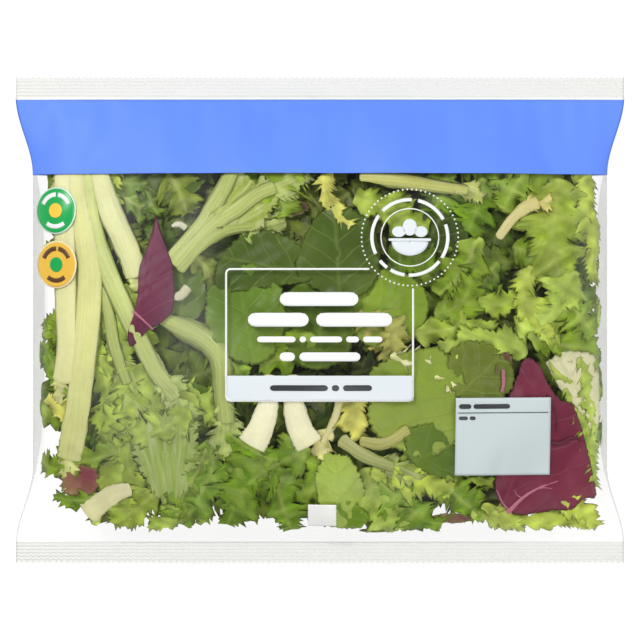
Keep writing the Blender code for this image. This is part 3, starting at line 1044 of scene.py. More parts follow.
# name, vein colour and strength, vein group's values, darkest and palest shade, bump
frondSkin = leafMaterial("frondSkin", (172, 188, 84), 0.16,
                         {"Spacing": 0.05, "Slant": 0.9, "Sharpness": 12.0}, (0.84, 1.22), 0.0004)
broadSkin = leafMaterial("broadSkin", (150, 172, 80), 0.22,
                         {"Spacing": 0.085, "Slant": 0.75, "Sharpness": 26.0}, (0.86, 1.18), 0.0005)
redSkin = leafMaterial("redSkin", (150, 70, 96), 0.25,
                       {"Spacing": 0.13, "Slant": 0.8, "Sharpness": 60.0}, (0.80, 1.12), 0.0005)
ribSkin = leafMaterial("ribSkin", (240, 238, 200), 0.32, None, (0.92, 1.12), 0.0004)
# the core's skin: a dark green as painted shade
paintedShadeCoreSkin = leafMaterial("paintedShadeCoreSkin", (60, 78, 30), 0.0, None, (0.5, 1.3), 0.0010)


wine, plum = linear(126, 40, 66), linear(110, 38, 70)
redPlan = [  # outline, (base, tip), depth, and what else is changed
    # the pointed leaf at the upper left and the large torn one at the lower right
    ([(-66.3, 42.5), (-62.7, 31), (-59.5, 22), (-58.6, 13), (-59.5, 4), (-63.9, -1.2), (-69, -4),
      (-76.2, -10.8), (-77.6, -5), (-75, 2.5), (-73.6, 10.3), (-73, 20.6), (-69.7, 30)],
     ((-77, -10), (-65.8, 41)), 0.1,
     {"skin": plum, "rimColour": linear(90, 50, 74), "wave": 0.5, "jag": 0.2, "rimCurl": 0.3, "baseShow": 0.0,
      "waveLength": 20}),
    ([(84.1, -15), (88.6, -17.8), (92.5, -25.5), (97.6, -32.3), (102.8, -34.5), (106, -41.5), (109.2, -51.8),
      (111.8, -62), (113.7, -72.3), (108.5, -73.4), (102.8, -77.8), (95, -78.2), (83.4, -80.2), (78.3, -78.9),
      (73.9, -75), (71.3, -68.6), (71.9, -60), (72.6, -46), (76.5, -31), (79.7, -23.6), (81.5, -17.7)],
     ((74, -80), (96, -16)), 0.6,
     {"skin": wine, "rimColour": linear(140, 70, 88), "wave": 0.7, "waveLength": 34, "jag": 0.5,
      "rimCurl": 0.2, "spokes": 200, "rings": 18, "baseShow": 0.0, "puff": 0.3}),
    # smaller pieces
    ([(73.5, -13), (77.5, -15), (76.5, -29), (71.5, -29), (71, -20)], ((72, -30), (76, -13)), 1.4,
     {"skin": plum * 0.8, "spokes": 40, "rings": 6}),
    ([(-106, -62), (-101, -60), (-95, -59.5), (-91, -62), (-91, -69), (-97, -72), (-105, -71)],
     ((-104, -70), (-92, -61)), 0.8,
     {"skin": linear(140, 30, 72), "spokes": 60, "rings": 6, "jag": 0.9, "wave": 1.0, "waveLength": 12}),
    ([(-19, 54), (-10, 51), (-4, 45), (-12, 42), (-20, 46)], ((-20, 50), (-4, 46)), 5.0,
     {"skin": plum * 0.35, "spokes": 50, "rings": 6, "jag": 1.2}),
    ([(46, -80), (55, -79), (62, -81), (58, -83.5), (48, -83)], ((46, -82), (62, -81)), 3.0,
     {"skin": linear(116, 66, 72), "spokes": 50, "rings": 6, "jag": 0.6}),
]


def makeRedLeaves():
    red = LeafPile()
    rng = np.random.default_rng(11)
    for outline, axis, depth, changes in redPlan:
        addBroadLeaf(red, rng, outline, axis, depth=(depth, depth), **changes)
    # the dark red strips lie along the big leaf's folds: painted shade
    vein, paintedCreaseShade = linear(206, 128, 148), linear(84, 26, 46)
    strips = [  # path, width at both ends, colour
        ([(-75.4, 3.6), (-71.5, 0.2), (-67.2, -3.9)], (1.0, 0.5), vein),
        ([(76.8, -79.2), (80, -75.6), (84.5, -71.6), (90.5, -68.2), (97.5, -65.8)], (2.0, 0.3), vein),
        ([(83, -73), (80.5, -71.5), (79.5, -69.4)], (0.5, 0.2), vein),
        ([(88, -69.4), (91.5, -68.6), (95, -69)], (0.4, 0.2), vein),
        ([(77.4, -78), (74.6, -74.6), (72, -69.2)], (0.9, 0.4), vein),
        ([(90, -48), (97, -50.5), (103, -48.2), (108.5, -49.6)], (1.6, 0.8), paintedCreaseShade),
        ([(92, -30), (96, -38), (97, -46)], (0.6, 0.3), paintedCreaseShade),
        ([(74, -20), (74.2, -26), (73.4, -29)], (1.4, 1.0), vein),
    ]
    for path, width, colour in strips:
        addRib(red, rng, path, rib=colour, blade=colour, ribWidth=width, ribHeight=0.12, web=0.1,
               depth=(-0.9, -0.9))
    red.build("red_leaves", redSkin)


def makeBroadLeaves():
    broad = LeafPile()
    rng = np.random.default_rng(23)
    leaves = [  # outline, (base, tip), shade, depth
        ([(-8, 30), (0, 44), (10, 46), (20, 40), (24, 28), (22, 14), (10, 8), (-2, 12), (-10, 20)],
         ((8, 8), (6, 46)), "shaded", 2.0),
        ([(-42, 22), (-32, 34), (-18, 36), (-6, 28), (-4, 16), (-16, 14), (-30, 12), (-42, 12)],
         ((-4, 18), (-42, 26)), "shaded", 2.4),
        ([(-46, 12), (-34, 22), (-20, 20), (-14, 6), (-16, -10), (-26, -18), (-38, -14), (-46, -2)],
         ((-26, -20), (-34, 22)), "leafGreen", 2.0),
        ([(-16, 10), (-4, 16), (10, 12), (14, -2), (10, -16), (-4, -20), (-14, -12)],
         ((0, -20), (0, 16)), "escarole", 3.4),
        ([(12, 10), (24, 20), (36, 18), (44, 8), (40, -6), (26, -12), (14, -6)],
         ((12, -4), (42, 16)), "mid", 3.2),
        ([(20, -20), (34, -13), (50, -12), (59, -26), (58, -46), (44, -56), (30, -52), (20, -42)],
         ((26, -56), (44, -12)), "bright", 1.4),
        ([(52, -12), (62, -8), (72, -12), (79, -22), (74, -32), (60, -34), (52, -26)],
         ((54, -32), (76, -12)), "olive", 1.2),
        ([(34, -44), (48, -42), (58, -50), (60, -62), (48, -64), (36, -56)],
         ((36, -58), (60, -48)), "escarole", 1.0),
        ([(-66, -34), (-58, -26), (-48, -26), (-42, -32), (-44, -42), (-54, -46), (-64, -42)],
         ((-54, -48), (-50, -26)), "escarole", 4.0),
        ([(2, -54), (12, -56), (18, -68), (16, -84), (6, -86), (0, -76), (-2, -64)],
         ((10, -86), (6, -54)), "haze", 1.6),
        ([(4, -76), (12, -74), (20, -80), (16, -86.5), (8, -86), (0, -83)],
         ((2, -80), (18, -82)), "fresh", 1.0),
        ([(-70, 40), (-58, 46), (-46, 58), (-56, 66), (-68, 60), (-74, 50)],
         ((-56, 40), (-60, 66)), "shaded", 4.4),
        ([(40, 48), (52, 52), (60, 46), (60, 34), (50, 26), (40, 34)], ((42, 28), (54, 52)), "deep", 4.5),
        ([(-66, 16), (-58, 24), (-48, 20), (-46, 6), (-54, -2), (-64, 4)],
         ((-56, -2), (-56, 24)), "escarole", 4.6),
        ([(91.5, -17.3), (98.6, -13), (109, -13.2), (115, -17.3), (116.3, -27), (116.3, -41), (113, -49),
          (110, -44), (104, -35), (98, -29)], ((114, -44), (96, -14)), "inner", 0.8),
    ]
    shades = dict(tones, bright=linear(132, 154, 50), leafGreen=linear(92, 124, 28),
                  shaded=linear(66, 90, 14), inner=linear(236, 230, 190))
    for outline, axis, shade, depth in leaves:
        pale = min(0.25, 0.7 * shades[shade][1])  # dark leaves have darker ribs and rims
        addBroadLeaf(broad, rng, outline, axis, skin=shades[shade],
                     depth=(depth, depth + rng.uniform(-0.4, 0.8)), wave=min(0.8, 0.1 + 0.25 * depth),
                     waveLength=rng.uniform(22, 34), jag=rng.uniform(0.5, 1.2), rimCurl=0.7,
                     tone=rng.uniform(0.94, 1.06), baseShow=pale, rimShow=pale)
    broad.build("broad_leaves", broadSkin)


# path (mm), width at both ends, web, size of the leafy end, where the web starts, depth, colours of
# rib and web, and what else is changed
ribPlan = [
    # pale ribs that run down together from under the blue band on the left, then part
    ([(-105, 74), (-104.5, 56), (-104, 40), (-103.8, 20), (-103.6, 4), (-103, -12), (-105.2, -26)],
     (7.5, 7.5), 1.2, 9, 0.1, (1.2, 0.8), (234, 232, 178), (206, 208, 120), {}),
    ([(-92, 74), (-90.5, 60), (-86, 46), (-80, 33), (-76, 24), (-74, 17)],
     (8.0, 8.0), 1.4, 9, 0.2, (1.5, 1.7), (226, 226, 172), (186, 194, 108), {}),
    ([(-96, 74), (-95.5, 58), (-93.5, 42), (-89, 26), (-80.6, 7.8), (-74.4, -4.9), (-66.6, -20.6),
      (-58.8, -30)],
     (7.5, 5.0), 1.6, 18, 0.3, (1.2, 1.2), (206, 214, 136), (164, 187, 86), {}),
    ([(-100.5, 74), (-99.5, 56), (-96, 38), (-93.5, 22), (-94.1, 4), (-96.2, -15), (-98.2, -33.7),
      (-101, -49), (-103, -57.5)],
     (8.0, 9.5), 1.2, 12, 0.2, (0.9, 0.6), (224, 224, 154), (196, 204, 112), {}),
    ([(-91, 20), (-86, 4), (-84, -8), (-81, -18), (-78, -26)],
     (4.0, 3.0), 1.4, 18, 0.2, (2.4, 1.8), (180, 192, 110), (142, 162, 58), {}),
    ([(-76, -2), (-69, -14), (-64, -24), (-58, -32)],
     (4.0, 5.5), 1.6, 18, 0.3, (2.4, 1.0), (192, 204, 124), (164, 187, 86), {}),
    ([(-72, 7), (-65, 1.5), (-56, -3), (-46, -8), (-40, -16), (-39, -30), (-38, -42)],
     (5.0, 4.0), 3.8, 16, 0.3, (3.4, 0.8), (184, 196, 110), (158, 178, 84), {}),
    # one cut stem, its three ribs side by side up to the fork
    ([(-61, 24.2), (-54, 32.2), (-46.8, 40.4), (-41, 50), (-36, 60), (-33.5, 70)],
     (4.8, 4.8), 1.4, 18, 0.5, (1.2, 1.6), (180, 190, 104), (150, 168, 78), {}),
    ([(-59, 22), (-52, 30), (-44.2, 37.8), (-35, 43.8), (-25, 51), (-18, 54)],
     (5.0, 4.6), 1.4, 18, 0.5, (0.9, 1.5), (184, 194, 108), (146, 164, 74), {}),
    ([(-57, 19.8), (-50, 27.8), (-42.5, 34.4), (-35, 37.2), (-26, 38)],
     (4.6, 2.6), 2.0, 16, 0.5, (1.2, 2.0), (172, 184, 96), (136, 156, 62), {}),
    # small pale bits, then short pieces low in the bag
    ([(-60, 9), (-56, 10), (-53, 13.5)],
     (2.0, 3.4), 0.8, 0, 0.1, (0.9, 0.9), (216, 210, 184), (190, 192, 140), {}),
    ([(-60, 38), (-57, 38.8), (-54, 37)],
     (1.2, 2.2), 0.6, 0, 0.1, (0.9, 0.9), (216, 214, 190), (180, 186, 140), {}),
    ([(-77, -69), (-84, -71), (-91, -76), (-96, -80)],
     (5.0, 10.0), 0.4, 0, 0.1, (0.8, 0.8), (228, 222, 176), (214, 212, 150), {"roundness": 0.3}),
    ([(-20, -22), (-21, -34), (-24, -44), (-28, -51)],
     (5.0, 11.5), 0.8, 0, 0.1, (0.9, 0.7), (252, 249, 218), (238, 234, 176), {"roundness": 0.2}),
    ([(-11, -22), (-10.5, -34), (-8, -44), (-4, -51)],
     (5.0, 11.0), 0.8, 0, 0.1, (0.9, 0.7), (250, 247, 214), (238, 234, 176), {"roundness": 0.2}),
    ([(8, -30), (6, -40), (1, -50)],
     (3.6, 1.8), 0.8, 12, 0.5, (1.8, 1.4), (222, 216, 160), (222, 218, 134), {}),
    ([(16, -49), (26, -50), (36, -44)],
     (4.0, 3.6), 0.8, 0, 0.1, (0.8, 0.8), (176, 174, 92), (188, 182, 96), {}),
    ([(8, -48), (18, -55), (30, -60)],
     (6.0, 3.0), 1.2, 14, 0.5, (1.0, 1.2), (176, 178, 110), (140, 158, 66), {}),
    ([(72, 33), (78, 41), (84, 46), (89, 48)],
     (3.6, 4.6), 0.8, 10, 0.7, (0.8, 0.7), (216, 206, 142), (206, 196, 104), {}),
    ([(16, 58.5), (30, 57), (46, 54.5), (60, 52.5)],
     (4.5, 2.0), 2.4, 10, 0.12, (1.2, 1.0), (196, 196, 110), (164, 174, 74), {}),
]


fanPlan = [  # outline, (base, tip), and what is changed: two pleated leaves that spread like a fan
    ([(-63, -76), (-71, -66), (-76, -54), (-74, -44), (-66, -38), (-57, -40), (-50, -46), (-50, -58),
      (-54, -70)],
     ((-61, -80), (-64, -38)),
     {"skin": linear(148, 172, 70), "fan": 44, "tone": 1.04, "baseColour": linear(160, 180, 92),
      "baseShow": 0.1, "depth": (1.1, 1.8), "wave": 0.9, "jag": 2.2, "rimCurl": 1.0, "puff": 0.1,
      "spokes": 190, "rings": 16}),
    ([(-47, 39), (-40, 49), (-38, 62), (-31, 60), (-24, 54), (-14, 53), (-20, 44), (-24, 37), (-34, 36)],
     ((-50, 32), (-26, 58)),
     {"skin": linear(150, 168, 62), "fan": 40, "baseColour": linear(196, 204, 118), "baseShow": 0.4,
      "depth": (1.7, 2.2), "wave": 0.8, "jag": 1.4, "spokes": 150, "rings": 12}),
]


def makeRibs():
    ribs = LeafPile()
    rng = np.random.default_rng(31)
    for outline, axis, changes in fanPlan:
        addBroadLeaf(ribs, rng, outline, axis, **changes)
    for path, ribWidth, web, leafy, start, depth, rib, blade, changes in ribPlan:
        addRib(ribs, rng, path, ribWidth=ribWidth, web=web, leafy=leafy, start=start, depth=depth,
               rib=linear(*rib), blade=linear(*blade), **changes)
    ribs.build("ribbed_leaves", ribSkin)


curlyPlan = [  # path (mm), width, tone, edge tone, depth, lobes
    # left margin and lower left corner
    ([(-94, 2), (-103, -1), (-112, 1)], 13, "mid", "soft", 2.0, 3),
    ([(-95, -8), (-106, -6), (-114, -1)], 12, "mid", "soft", 2.2, 3),
    ([(-97, -34), (-106, -27), (-110, -16), (-115, -9)], 9, "fresh", "soft", 1.6, 4),
    ([(-97, -46), (-104, -38), (-112, -32)], 12, "yellow", "straw", 1.8, 2.5),
    ([(-82, -54), (-96, -58), (-108, -61), (-116, -58)], 17, "mid", "soft", 1.4, 3.5),
    ([(-88, -72), (-98, -74), (-109, -73)], 9, "fresh", "soft", 1.0, 3),
    ([(-66, -70), (-76, -78), (-84, -84)], 20, "soft", "haze", 1.8, 3),
    ([(-58, -74), (-62, -82), (-70, -87)], 15, "haze", "haze", 2.4, 3),
    ([(-90, -14), (-86, -30), (-88, -44), (-84, -58)], 18, "soft", "haze", 3.0, 4),
    ([(-94, 44), (-98, 30), (-98, 14), (-100, 0)], 13, "lime", "straw", 2.6, 3),
    ([(-104, 74), (-106, 62), (-107, 50), (-106, 38)], 10, "straw", "straw", 1.0, 3),
    ([(-84, 66), (-86, 54), (-84, 42)], 13, "lime", "haze", 2.4, 3),
    ([(-88, 22), (-88, 8), (-90, -8), (-92, -24)], 13, "soft", "haze", 2.4, 3.5),
    # big curly leaf on the left, and what spreads from it
    ([(-74, -18), (-70, -30), (-62, -40), (-52, -48)], 38, "haze", "haze", 1.5, 4.5),
    ([(-66, -34), (-78, -38), (-88, -46)], 22, "soft", "haze", 1.9, 4),
    ([(-50, -30), (-58, -40), (-68, -46), (-78, -44)], 20, "haze", "haze", 0.3, 4),
    ([(-46, -52), (-50, -62), (-56, -72), (-54, -80)], 13, "mid", "soft", 0.4, 4),
    ([(-78, -50), (-78, -60), (-72, -70)], 12, "soft", "haze", 0.4, 4),
    ([(-62, -38), (-76, -52), (-82, -66), (-80, -76)], 24, "soft", "lime", 2.1, 4.5),
    ([(-60, -32), (-50, -32), (-40, -36)], 20, "haze", "haze", 2.0, 3.5),
    ([(-60, -46), (-62, -60), (-62, -74)], 20, "haze", "haze", 2.4, 3),
    # lower middle
    ([(-42, -46), (-44, -60), (-50, -74), (-56, -84)], 26, "fresh", "soft", 1.8, 4.5),
    ([(-40, -44), (-34, -58), (-34, -72), (-38, -84)], 26, "fresh", "soft", 2.2, 4.5),
    ([(-4, -52), (-16, -58), (-28, -66), (-36, -76)], 28, "fresh", "soft", 1.5, 4),
    ([(-24, -56), (-18, -68), (-14, -80), (-12, -88)], 22, "fresh", "mid", 1.9, 4),
    ([(-44, -40), (-36, -46), (-26, -54), (-14, -58)], 16, "fresh", "mid", 1.2, 3.5),
    ([(-46, -50), (-52, -58), (-48, -70)], 16, "mid", "soft", 3.4, 4),
    ([(4, -54), (-2, -66), (-6, -78)], 18, "mid", "fresh", 2.8, 3.5),
    # right of the middle, lower
    ([(14, -28), (14, -38), (16, -48)], 15, "yellow", "yellow", 1.1, 4),
    ([(20, -62), (34, -64), (46, -66), (54, -70)], 19, "lime", "lime", 1.2, 3.5),
    ([(30, -60), (44, -58), (58, -62), (70, -66)], 15, "soft", "haze", 1.8, 3),
    ([(24, -66), (34, -74), (42, -82), (50, -84)], 22, "fresh", "mid", 1.9, 4),
    ([(18, -60), (22, -72), (28, -82), (34, -86)], 24, "haze", "haze", 2.4, 3.5),
    ([(50, -66), (58, -74), (66, -80)], 20, "fresh", "lime", 2.4, 4),
    ([(66, -76), (80, -82), (96, -82), (111, -85)], 15, "lime", "yellow", 2.4, 4),
    ([(98, -74), (107, -78), (114, -85)], 14, "lime", "yellow", 1.0, 4),
    ([(62, -78), (74, -82), (84, -87)], 12, "haze", "straw", 2.6, 3),
    # right margin
    ([(102, -26), (108, -40), (112, -52), (113, -60)], 12, "haze", "lime", 1.2, 4),
    ([(106, -15), (109, -24), (110, -36), (114, -46)], 8, "haze", "lime", -0.4, 4),
    ([(93, -17), (99, -25), (104, -34), (106, -42)], 6, "haze", "lime", 0.2, 4),
    ([(107, -52), (112, -60), (114, -68)], 7, "soft", "haze", 1.4, 3),
    ([(84, -6), (96, -10), (110, -12), (116, -18)], 17, "mid", "soft", 1.6, 4),
    ([(100, 10), (106, 2), (112, -6)], 22, "mid", "soft", 1.8, 4),
    # right middle
    ([(98, 58), (96, 44), (94, 30), (100, 14)], 40, "soft", "haze", 1.0, 5),
    ([(108, 66), (109, 50), (111, 34), (112, 16)], 14, "lime", "haze", 0.8, 2.5),
    ([(104, 20), (98, 8), (90, -2), (80, -6)], 26, "haze", "lime", 0.9, 4),
    ([(86, 22), (82, 12), (86, 2), (92, -8)], 15, "lime", "lime", 0.7, 3),
    ([(64, 8), (74, 6), (84, 12)], 14, "soft", "haze", 1.2, 3),
    ([(84, -14), (70, -8), (58, -10), (48, -14)], 18, "haze", "haze", 0.9, 4),
    ([(46, 2), (56, 6), (62, 16)], 20, "mid", "soft", 1.8, 4),
    ([(38, -6), (50, -4), (60, -2), (70, -4)], 17, "soft", "haze", 1.5, 3.5),
    ([(64, 34), (60, 24), (54, 16), (48, 10)], 22, "mid", "soft", 2.6, 4),
    ([(72, 24), (66, 14), (68, 4)], 20, "escarole", "mid", 3.2, 4),
    ([(66, 58), (64, 46), (60, 36)], 26, "fresh", "mid", 2.2, 4.5),
    ([(84, 62), (78, 52), (74, 44)], 24, "mid", "soft", 1.7, 4),
    ([(52, 62), (50, 52), (46, 44)], 22, "fresh", "mid", 3.0, 4),
    ([(78, 30), (84, 28), (92, 24)], 20, "mid", "soft", 2.6, 4),
    # top middle and under the title
    ([(-10, 64), (-16, 54), (-14, 42)], 26, "mid", "soft", 1.8, 4.5),
    ([(4, 62), (2, 54), (6, 44), (12, 38)], 9, "yellow", "lime", 1.2, 4),
    ([(-32, 62), (-26, 52), (-20, 44)], 22, "fresh", "mid", 3.2, 4),
    ([(14, 50), (26, 46), (36, 40), (44, 38)], 20, "soft", "mid", 2.4, 3.5),
    ([(28, 30), (36, 26), (46, 26)], 22, "fresh", "mid", 3.6, 4),
    ([(-36, 8), (-26, 2), (-16, 4)], 20, "fresh", "soft", 3.2, 4),
    ([(-2, -6), (-12, -14), (-24, -18)], 22, "mid", "fresh", 2.8, 4),
    ([(16, 4), (24, -6), (28, -16)], 20, "khaki", "yellow", 2.2, 4),
    ([(34, 2), (30, -8), (32, -18)], 13, "khaki", "yellow", 1.4, 4),
    ([(10, 18), (16, 8), (10, -2)], 22, "deep", "mid", 4.0, 4),
    ([(-36, -16), (-30, -26), (-22, -30)], 15, "fresh", "lime", 2.0, 4),
    # small pale bits
    ([(28, -15), (35, -15.5), (44, -16)], 7, "cream", "white", 0.6, 3),
    ([(46, -23), (51, -24), (53, -29)], 5, "cream", "straw", 0.2, 2),
    # top right corner
    ([(80, 72), (90, 62), (100, 54)], 26, "mid", "soft", 2.2, 3),
    ([(112, 72), (106, 66), (98, 66)], 22, "soft", "haze", 2.6, 3),
    ([(56, 70), (66, 64), (76, 62)], 20, "fresh", "mid", 2.8, 3),
    # upper left
    ([(-88, 62), (-80, 56), (-70, 56)], 20, "escarole", "mid", 3.0, 4),
    ([(-64, 64), (-58, 54), (-54, 44)], 22, "olive", "soft", 3.0, 3.5),
    ([(-80, 50), (-72, 46), (-66, 50)], 16, "escarole", "soft", 3.8, 4),
    ([(-86, 40), (-78, 30), (-70, 20)], 20, "olive", "mid", 4.4, 4),
    ([(-50, 26), (-44, 16), (-50, 6)], 22, "olive", "soft", 4.4, 4),
    ([(-86, 6), (-82, -10), (-78, -22)], 17, "haze", "haze", 2.2, 4),
    ([(-80, 14), (-74, 2), (-70, -12)], 16, "soft", "haze", 2.8, 4),
]


def makeCurlyLeaves():
    pile = LeafPile()
    rng = np.random.default_rng(47)
    for path, width, blade, edge, depth, lobes in curlyPlan:
        tilt = rng.uniform(-0.5, 0.9)
        addSheet(pile, rng, path, width, blade=tones[blade], edge=tones[edge], lobes=lobes * 0.65,
                 depth=(depth + 0.9, depth + 0.9 + tilt), lobeDepth=rng.uniform(0.35, 0.6),
                 lean=rng.uniform(0.75, 1.25), skew=rng.normal(0, 0.7), ribShow=rng.uniform(0.25, 0.7),
                 branchShow=rng.uniform(0.15, 0.45), cutDepth=rng.uniform(0.2, 0.42),
                 tooth=rng.uniform(0.9, 1.7), ruffle=rng.uniform(1.3, 2.4), ruffleLength=rng.uniform(7, 13),
                 tone=rng.uniform(0.85, 1.1), ribWidth=(max(1.6, width * 0.12), 0.6),
                 sweep=rng.uniform(-0.1, 0.45))
    pile.build("curly_leaves", frondSkin)


def strewnSheet(pile, rng, x, y, heading, depth, facing, paintedLightRange, shades, sizes):
    # one curly leaf of any shape: its path bends through a middle point, half its length each way
    length = rng.uniform(34, 62)
    bend = rng.normal(0, 0.5)
    middle = np.array([x, y])
    tail = middle - 0.5 * length * np.array([math.cos(heading - bend), math.sin(heading - bend)])
    tip = middle + 0.5 * length * np.array([math.cos(heading + bend), math.sin(heading + bend)])
    width = rng.uniform(*sizes)
    blade = tones[shades[rng.integers(len(shades))]]
    # the leaf's tone comes from the given range: painted shade for the deep layer, painted light for the back
    # and rim leaves
    addSheet(pile, rng, [tail, middle, tip], width, facing, blade=blade, edge=tones["soft"],
             depth=(depth, depth + rng.normal(0, 1.0)), tone=rng.uniform(*paintedLightRange),
             lobes=rng.uniform(2.0, 3.8), lobeDepth=rng.uniform(0.35, 0.6), tooth=rng.uniform(1.0, 1.8),
             ruffle=rng.uniform(1.4, 2.6), ruffleLength=rng.uniform(8, 15), edgeShow=0.25, ribShow=0.4,
             branchShow=0.25, toothStep=2.4, lean=rng.uniform(0.75, 1.25), sweep=rng.uniform(-0.1, 0.45))


# painted shade and light: the deep layer's tones of 0.34 to 0.7 and its darker shades make it look shaded,
# and the back layer's tones up to 1.2 and paler shades make leaves that lie in shade look lit
layers = [  # curly leaves strewn evenly in layers of their own; depths in mm, reach is half the layer's size
    {"name": "curly_leaves_under", "seed": 42, "count": 84, "depth": (6.5, 13.0), "tone": (0.34, 0.7),
     "shades": ["fresh", "escarole", "mid", "olive", "deep"], "facing": 1, "reach": (98, 67)},
    {"name": "curly_leaves_back", "seed": 43, "count": 90, "depth": (0.8, 7.0), "tone": (0.95, 1.2),
     "shades": ["fresh", "escarole", "mid", "soft"], "facing": -1, "reach": (94, 62)},
]


def scatterSheets(layer):
    # a loose grid of leaves, each turned any way
    pile = LeafPile()
    rng = np.random.default_rng(layer["seed"])
    columns = round(math.sqrt(layer["count"] * 1.4))
    rows = math.ceil(layer["count"] / columns)
    for index in range(layer["count"]):
        x = layer["reach"][0] * (2 * (index % columns + 0.5) / columns - 1) + rng.normal(0, 5)
        y = layer["reach"][1] * (2 * (index // columns + 0.5) / rows - 1) + rng.normal(0, 5)
        strewnSheet(pile, rng, x, y, rng.uniform(0, 2 * math.pi), rng.uniform(*layer["depth"]),
                    layer["facing"], layer["tone"], layer["shades"], (16, 34))
    pile.build(layer["name"], frondSkin)


# painted light: the rim leaves' tones up to 1.2 and pale shades brighten leaves that lie in the shade round
# the heap's sides
rimLook = {"count": 90, "right": 99, "left": 94, "top": 72, "bottom": 69, "depth": (7, 38),
           "tone": (0.95, 1.2), "sizes": (12, 24), "shades": ["fresh", "mid", "soft", "haze"]}


def rimSheets():
    # curly leaves stacked round the sides of the heap, from the front film down to the back: their middles
    # lie on a squarish oval, cosine and sine to the power 0.45
    pile = LeafPile()
    rng = np.random.default_rng(44)
    for index in range(rimLook["count"]):
        turn = 2 * math.pi * (index + rng.uniform(0, 1)) / rimLook["count"]
        cosine, sine = math.cos(turn), math.sin(turn)
        x = rimLook["right" if cosine > 0 else "left"] * np.sign(cosine) * abs(cosine) ** 0.45
        y = rimLook["top" if sine > 0 else "bottom"] * np.sign(sine) * abs(sine) ** 0.45
        heading = math.pi / 2 if abs(x) / rimLook["right"] > abs(y) / rimLook["top"] else 0.0
        strewnSheet(pile, rng, x, y, heading + rng.normal(0, 0.3), rng.uniform(*rimLook["depth"]), 1,
                    rimLook["tone"], rimLook["shades"], rimLook["sizes"])
    pile.build("curly_leaves_rim", frondSkin)


makeRedLeaves()
makeBroadLeaves()
makeRibs()
makeCurlyLeaves()
for layer in layers:
    scatterSheets(layer)
rimSheets()
print("leaves made")


# the core's dark colour is painted shade
coreLook = {"columns": 90, "rows": 70, "inset": 11 * mm, "wide": 0.72, "long": 0.66, "crumple": 3.2 * mm,
            "colour": (50, 66, 20)}


def makeCore():
    # a crumpled mass deep inside: the bag's own section drawn in, with crossed waves of three sizes; its dark
    # green is painted shade for the leaves packed deep in the bag
    v = spread(coreLook["rows"])[:, None]
    across = spread(coreLook["columns"])[None, :]
    y = v * bodyHalf * coreLook["long"] + 0 * across
    x = across * halfWidth(y) * coreLook["wide"]
    full = (1 - np.abs(across) ** 3) * (1 - np.abs(v) ** 3)
    top = filmFront(x, y, fine=False)
    bottom = filmBack(x, y)
    middle = 0.5 * (top + bottom)
    half = np.maximum(0.5 * (top - bottom) - coreLook["inset"], 0.3 * mm) * np.clip(full, 0.02, 1) ** 0.4
    crumple = np.sin(170 * x + 3 * np.sin(120 * y)) * np.sin(150 * y + 2 * np.sin(140 * x))
    crumple = crumple + 0.6 * np.sin(390 * x + 2.0 * np.sin(260 * y)) * np.sin(350 * y + 1.0)
    half = half + coreLook["crumple"] * crumple * np.clip(full, 0, 1) * (half > 1 * mm)
    front = np.stack([x, y, middle + half], axis=-1)
    back = np.stack([x, y, middle - half], axis=-1)
    points = np.stack([front, back])
    colours = np.broadcast_to(linear(*coreLook["colour"]), (points.size // 3, 3))
    plans = points[..., :2].reshape(-1, 2) * 10
    piece = buildPiece("packed_leaves", points, [slabFaces(*x.shape)], paintedShadeCoreSkin, colours, plans)
    return rideOnBag(piece)


makeCore()
print("core made")


stageLook = {"floorWhite": 0.86, "floorShadow": 0.24, "floorDrop": 0.6 * mm, "floorReach": 60.0,
             "worldLight": 0.34, "viewHeight": 1.5, "viewWidth": 263.2 * mm, "sensor": 36.0,
             "lampAim": (0, 0, 0.02)}
lamps = [  # name, place and size in metres, power in watts
    ("keyLamp", (-0.55, 0.65, 0.95), 0.5, 8.8), ("fillLamp", (0.75, 0.15, 0.8), 0.6, 3.5),
    ("frontLamp", (0.1, -0.8, 0.85), 0.6, 3.0),
]


def whiteForCamera(nodes, links):
    # 1 on rays that see the surface directly or through glass
    rays = nodes.new("ShaderNodeLightPath").outputs
    return mathNode(nodes, links, "MAXIMUM", rays["Is Camera Ray"], rays["Is Transmission Ray"])


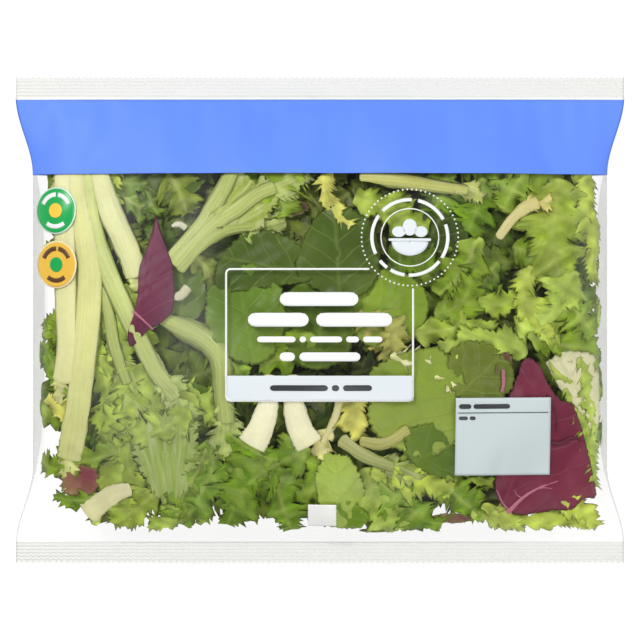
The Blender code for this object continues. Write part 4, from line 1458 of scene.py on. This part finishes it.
def makeFloor():
    # a wide pale square just under the bag, white to the camera but for the bag's shadow
    mesh = bpy.data.meshes.new("floor")
    reach, drop = stageLook["floorReach"], -stageLook["floorDrop"]
    corners = [(-reach, -reach, drop), (reach, -reach, drop), (reach, reach, drop), (-reach, reach, drop)]
    mesh.from_pydata(corners, [], [(0, 1, 2, 3)])
    floor = bpy.data.objects.new("floor", mesh)
    bpy.context.scene.collection.objects.link(floor)
    material, nodes, links, shader = newMaterial("paleFloor", (236, 236, 236), 0.7)
    shader.inputs["Specular IOR Level"].default_value = 0.1
    glow = addNode(nodes, "ShaderNodeEmission", None, Strength=stageLook["floorWhite"])
    both = nodes.new("ShaderNodeAddShader")
    choose = nodes.new("ShaderNodeMixShader")
    shadow = stageLook["floorShadow"]
    matt = addNode(nodes, "ShaderNodeBsdfDiffuse", None, Color=(shadow, shadow, shadow, 1.0))
    output = nodes["Material Output"]
    links.new(glow.outputs[0], both.inputs[0])
    links.new(matt.outputs[0], both.inputs[1])
    links.new(whiteForCamera(nodes, links), choose.inputs[0])
    links.new(shader.outputs[0], choose.inputs[1])
    links.new(both.outputs[0], choose.inputs[2])
    links.new(choose.outputs[0], output.inputs["Surface"])
    mesh.materials.append(material)


def makeWorld():
    # soft even light from all round, and plain white where the camera sees it
    world = bpy.data.worlds.new("studio")
    bpy.context.scene.world = world
    world.use_nodes = True
    nodes, links = world.node_tree.nodes, world.node_tree.links
    background = nodes["Background"]
    background.inputs["Color"].default_value = (1, 1, 1, 1)
    seen = whiteForCamera(nodes, links)
    strength = mathNode(nodes, links, "MULTIPLY", seen, 1.0 - stageLook["worldLight"])
    links.new(mathNode(nodes, links, "ADD", strength, stageLook["worldLight"]), background.inputs["Strength"])


def makeLamp(name, place, size, power):
    # a round soft lamp that points at the bag
    lamp = bpy.data.lights.new(name, "AREA")
    lamp.shape = "DISK"
    lamp.size = size
    lamp.energy = power
    thing = bpy.data.objects.new(name, lamp)
    thing.location = place
    aim = np.array(stageLook["lampAim"]) - np.array(place)
    thing.rotation_euler = Vector(aim).to_track_quat("-Z", "Y").to_euler()
    bpy.context.scene.collection.objects.link(thing)


def makeCamera():
    # straight above the bag, its lens set so that the view's width at the seams is as given
    camera = bpy.data.cameras.new("camera")
    camera.sensor_width = stageLook["sensor"]
    distance = stageLook["viewHeight"] - bagForm["seamLevel"]
    camera.lens = stageLook["sensor"] * distance / stageLook["viewWidth"]
    camera.clip_start, camera.clip_end = 0.05, 100.0
    thing = bpy.data.objects.new("camera", camera)
    thing.location = (0.0, 0.0, stageLook["viewHeight"])
    bpy.context.scene.collection.objects.link(thing)
    bpy.context.scene.camera = thing


makeFloor()
makeWorld()
for lampPlan in lamps:
    makeLamp(*lampPlan)
makeCamera()
bpy.context.scene.view_settings.view_transform = "Standard"
print("floor, lamps and camera set")
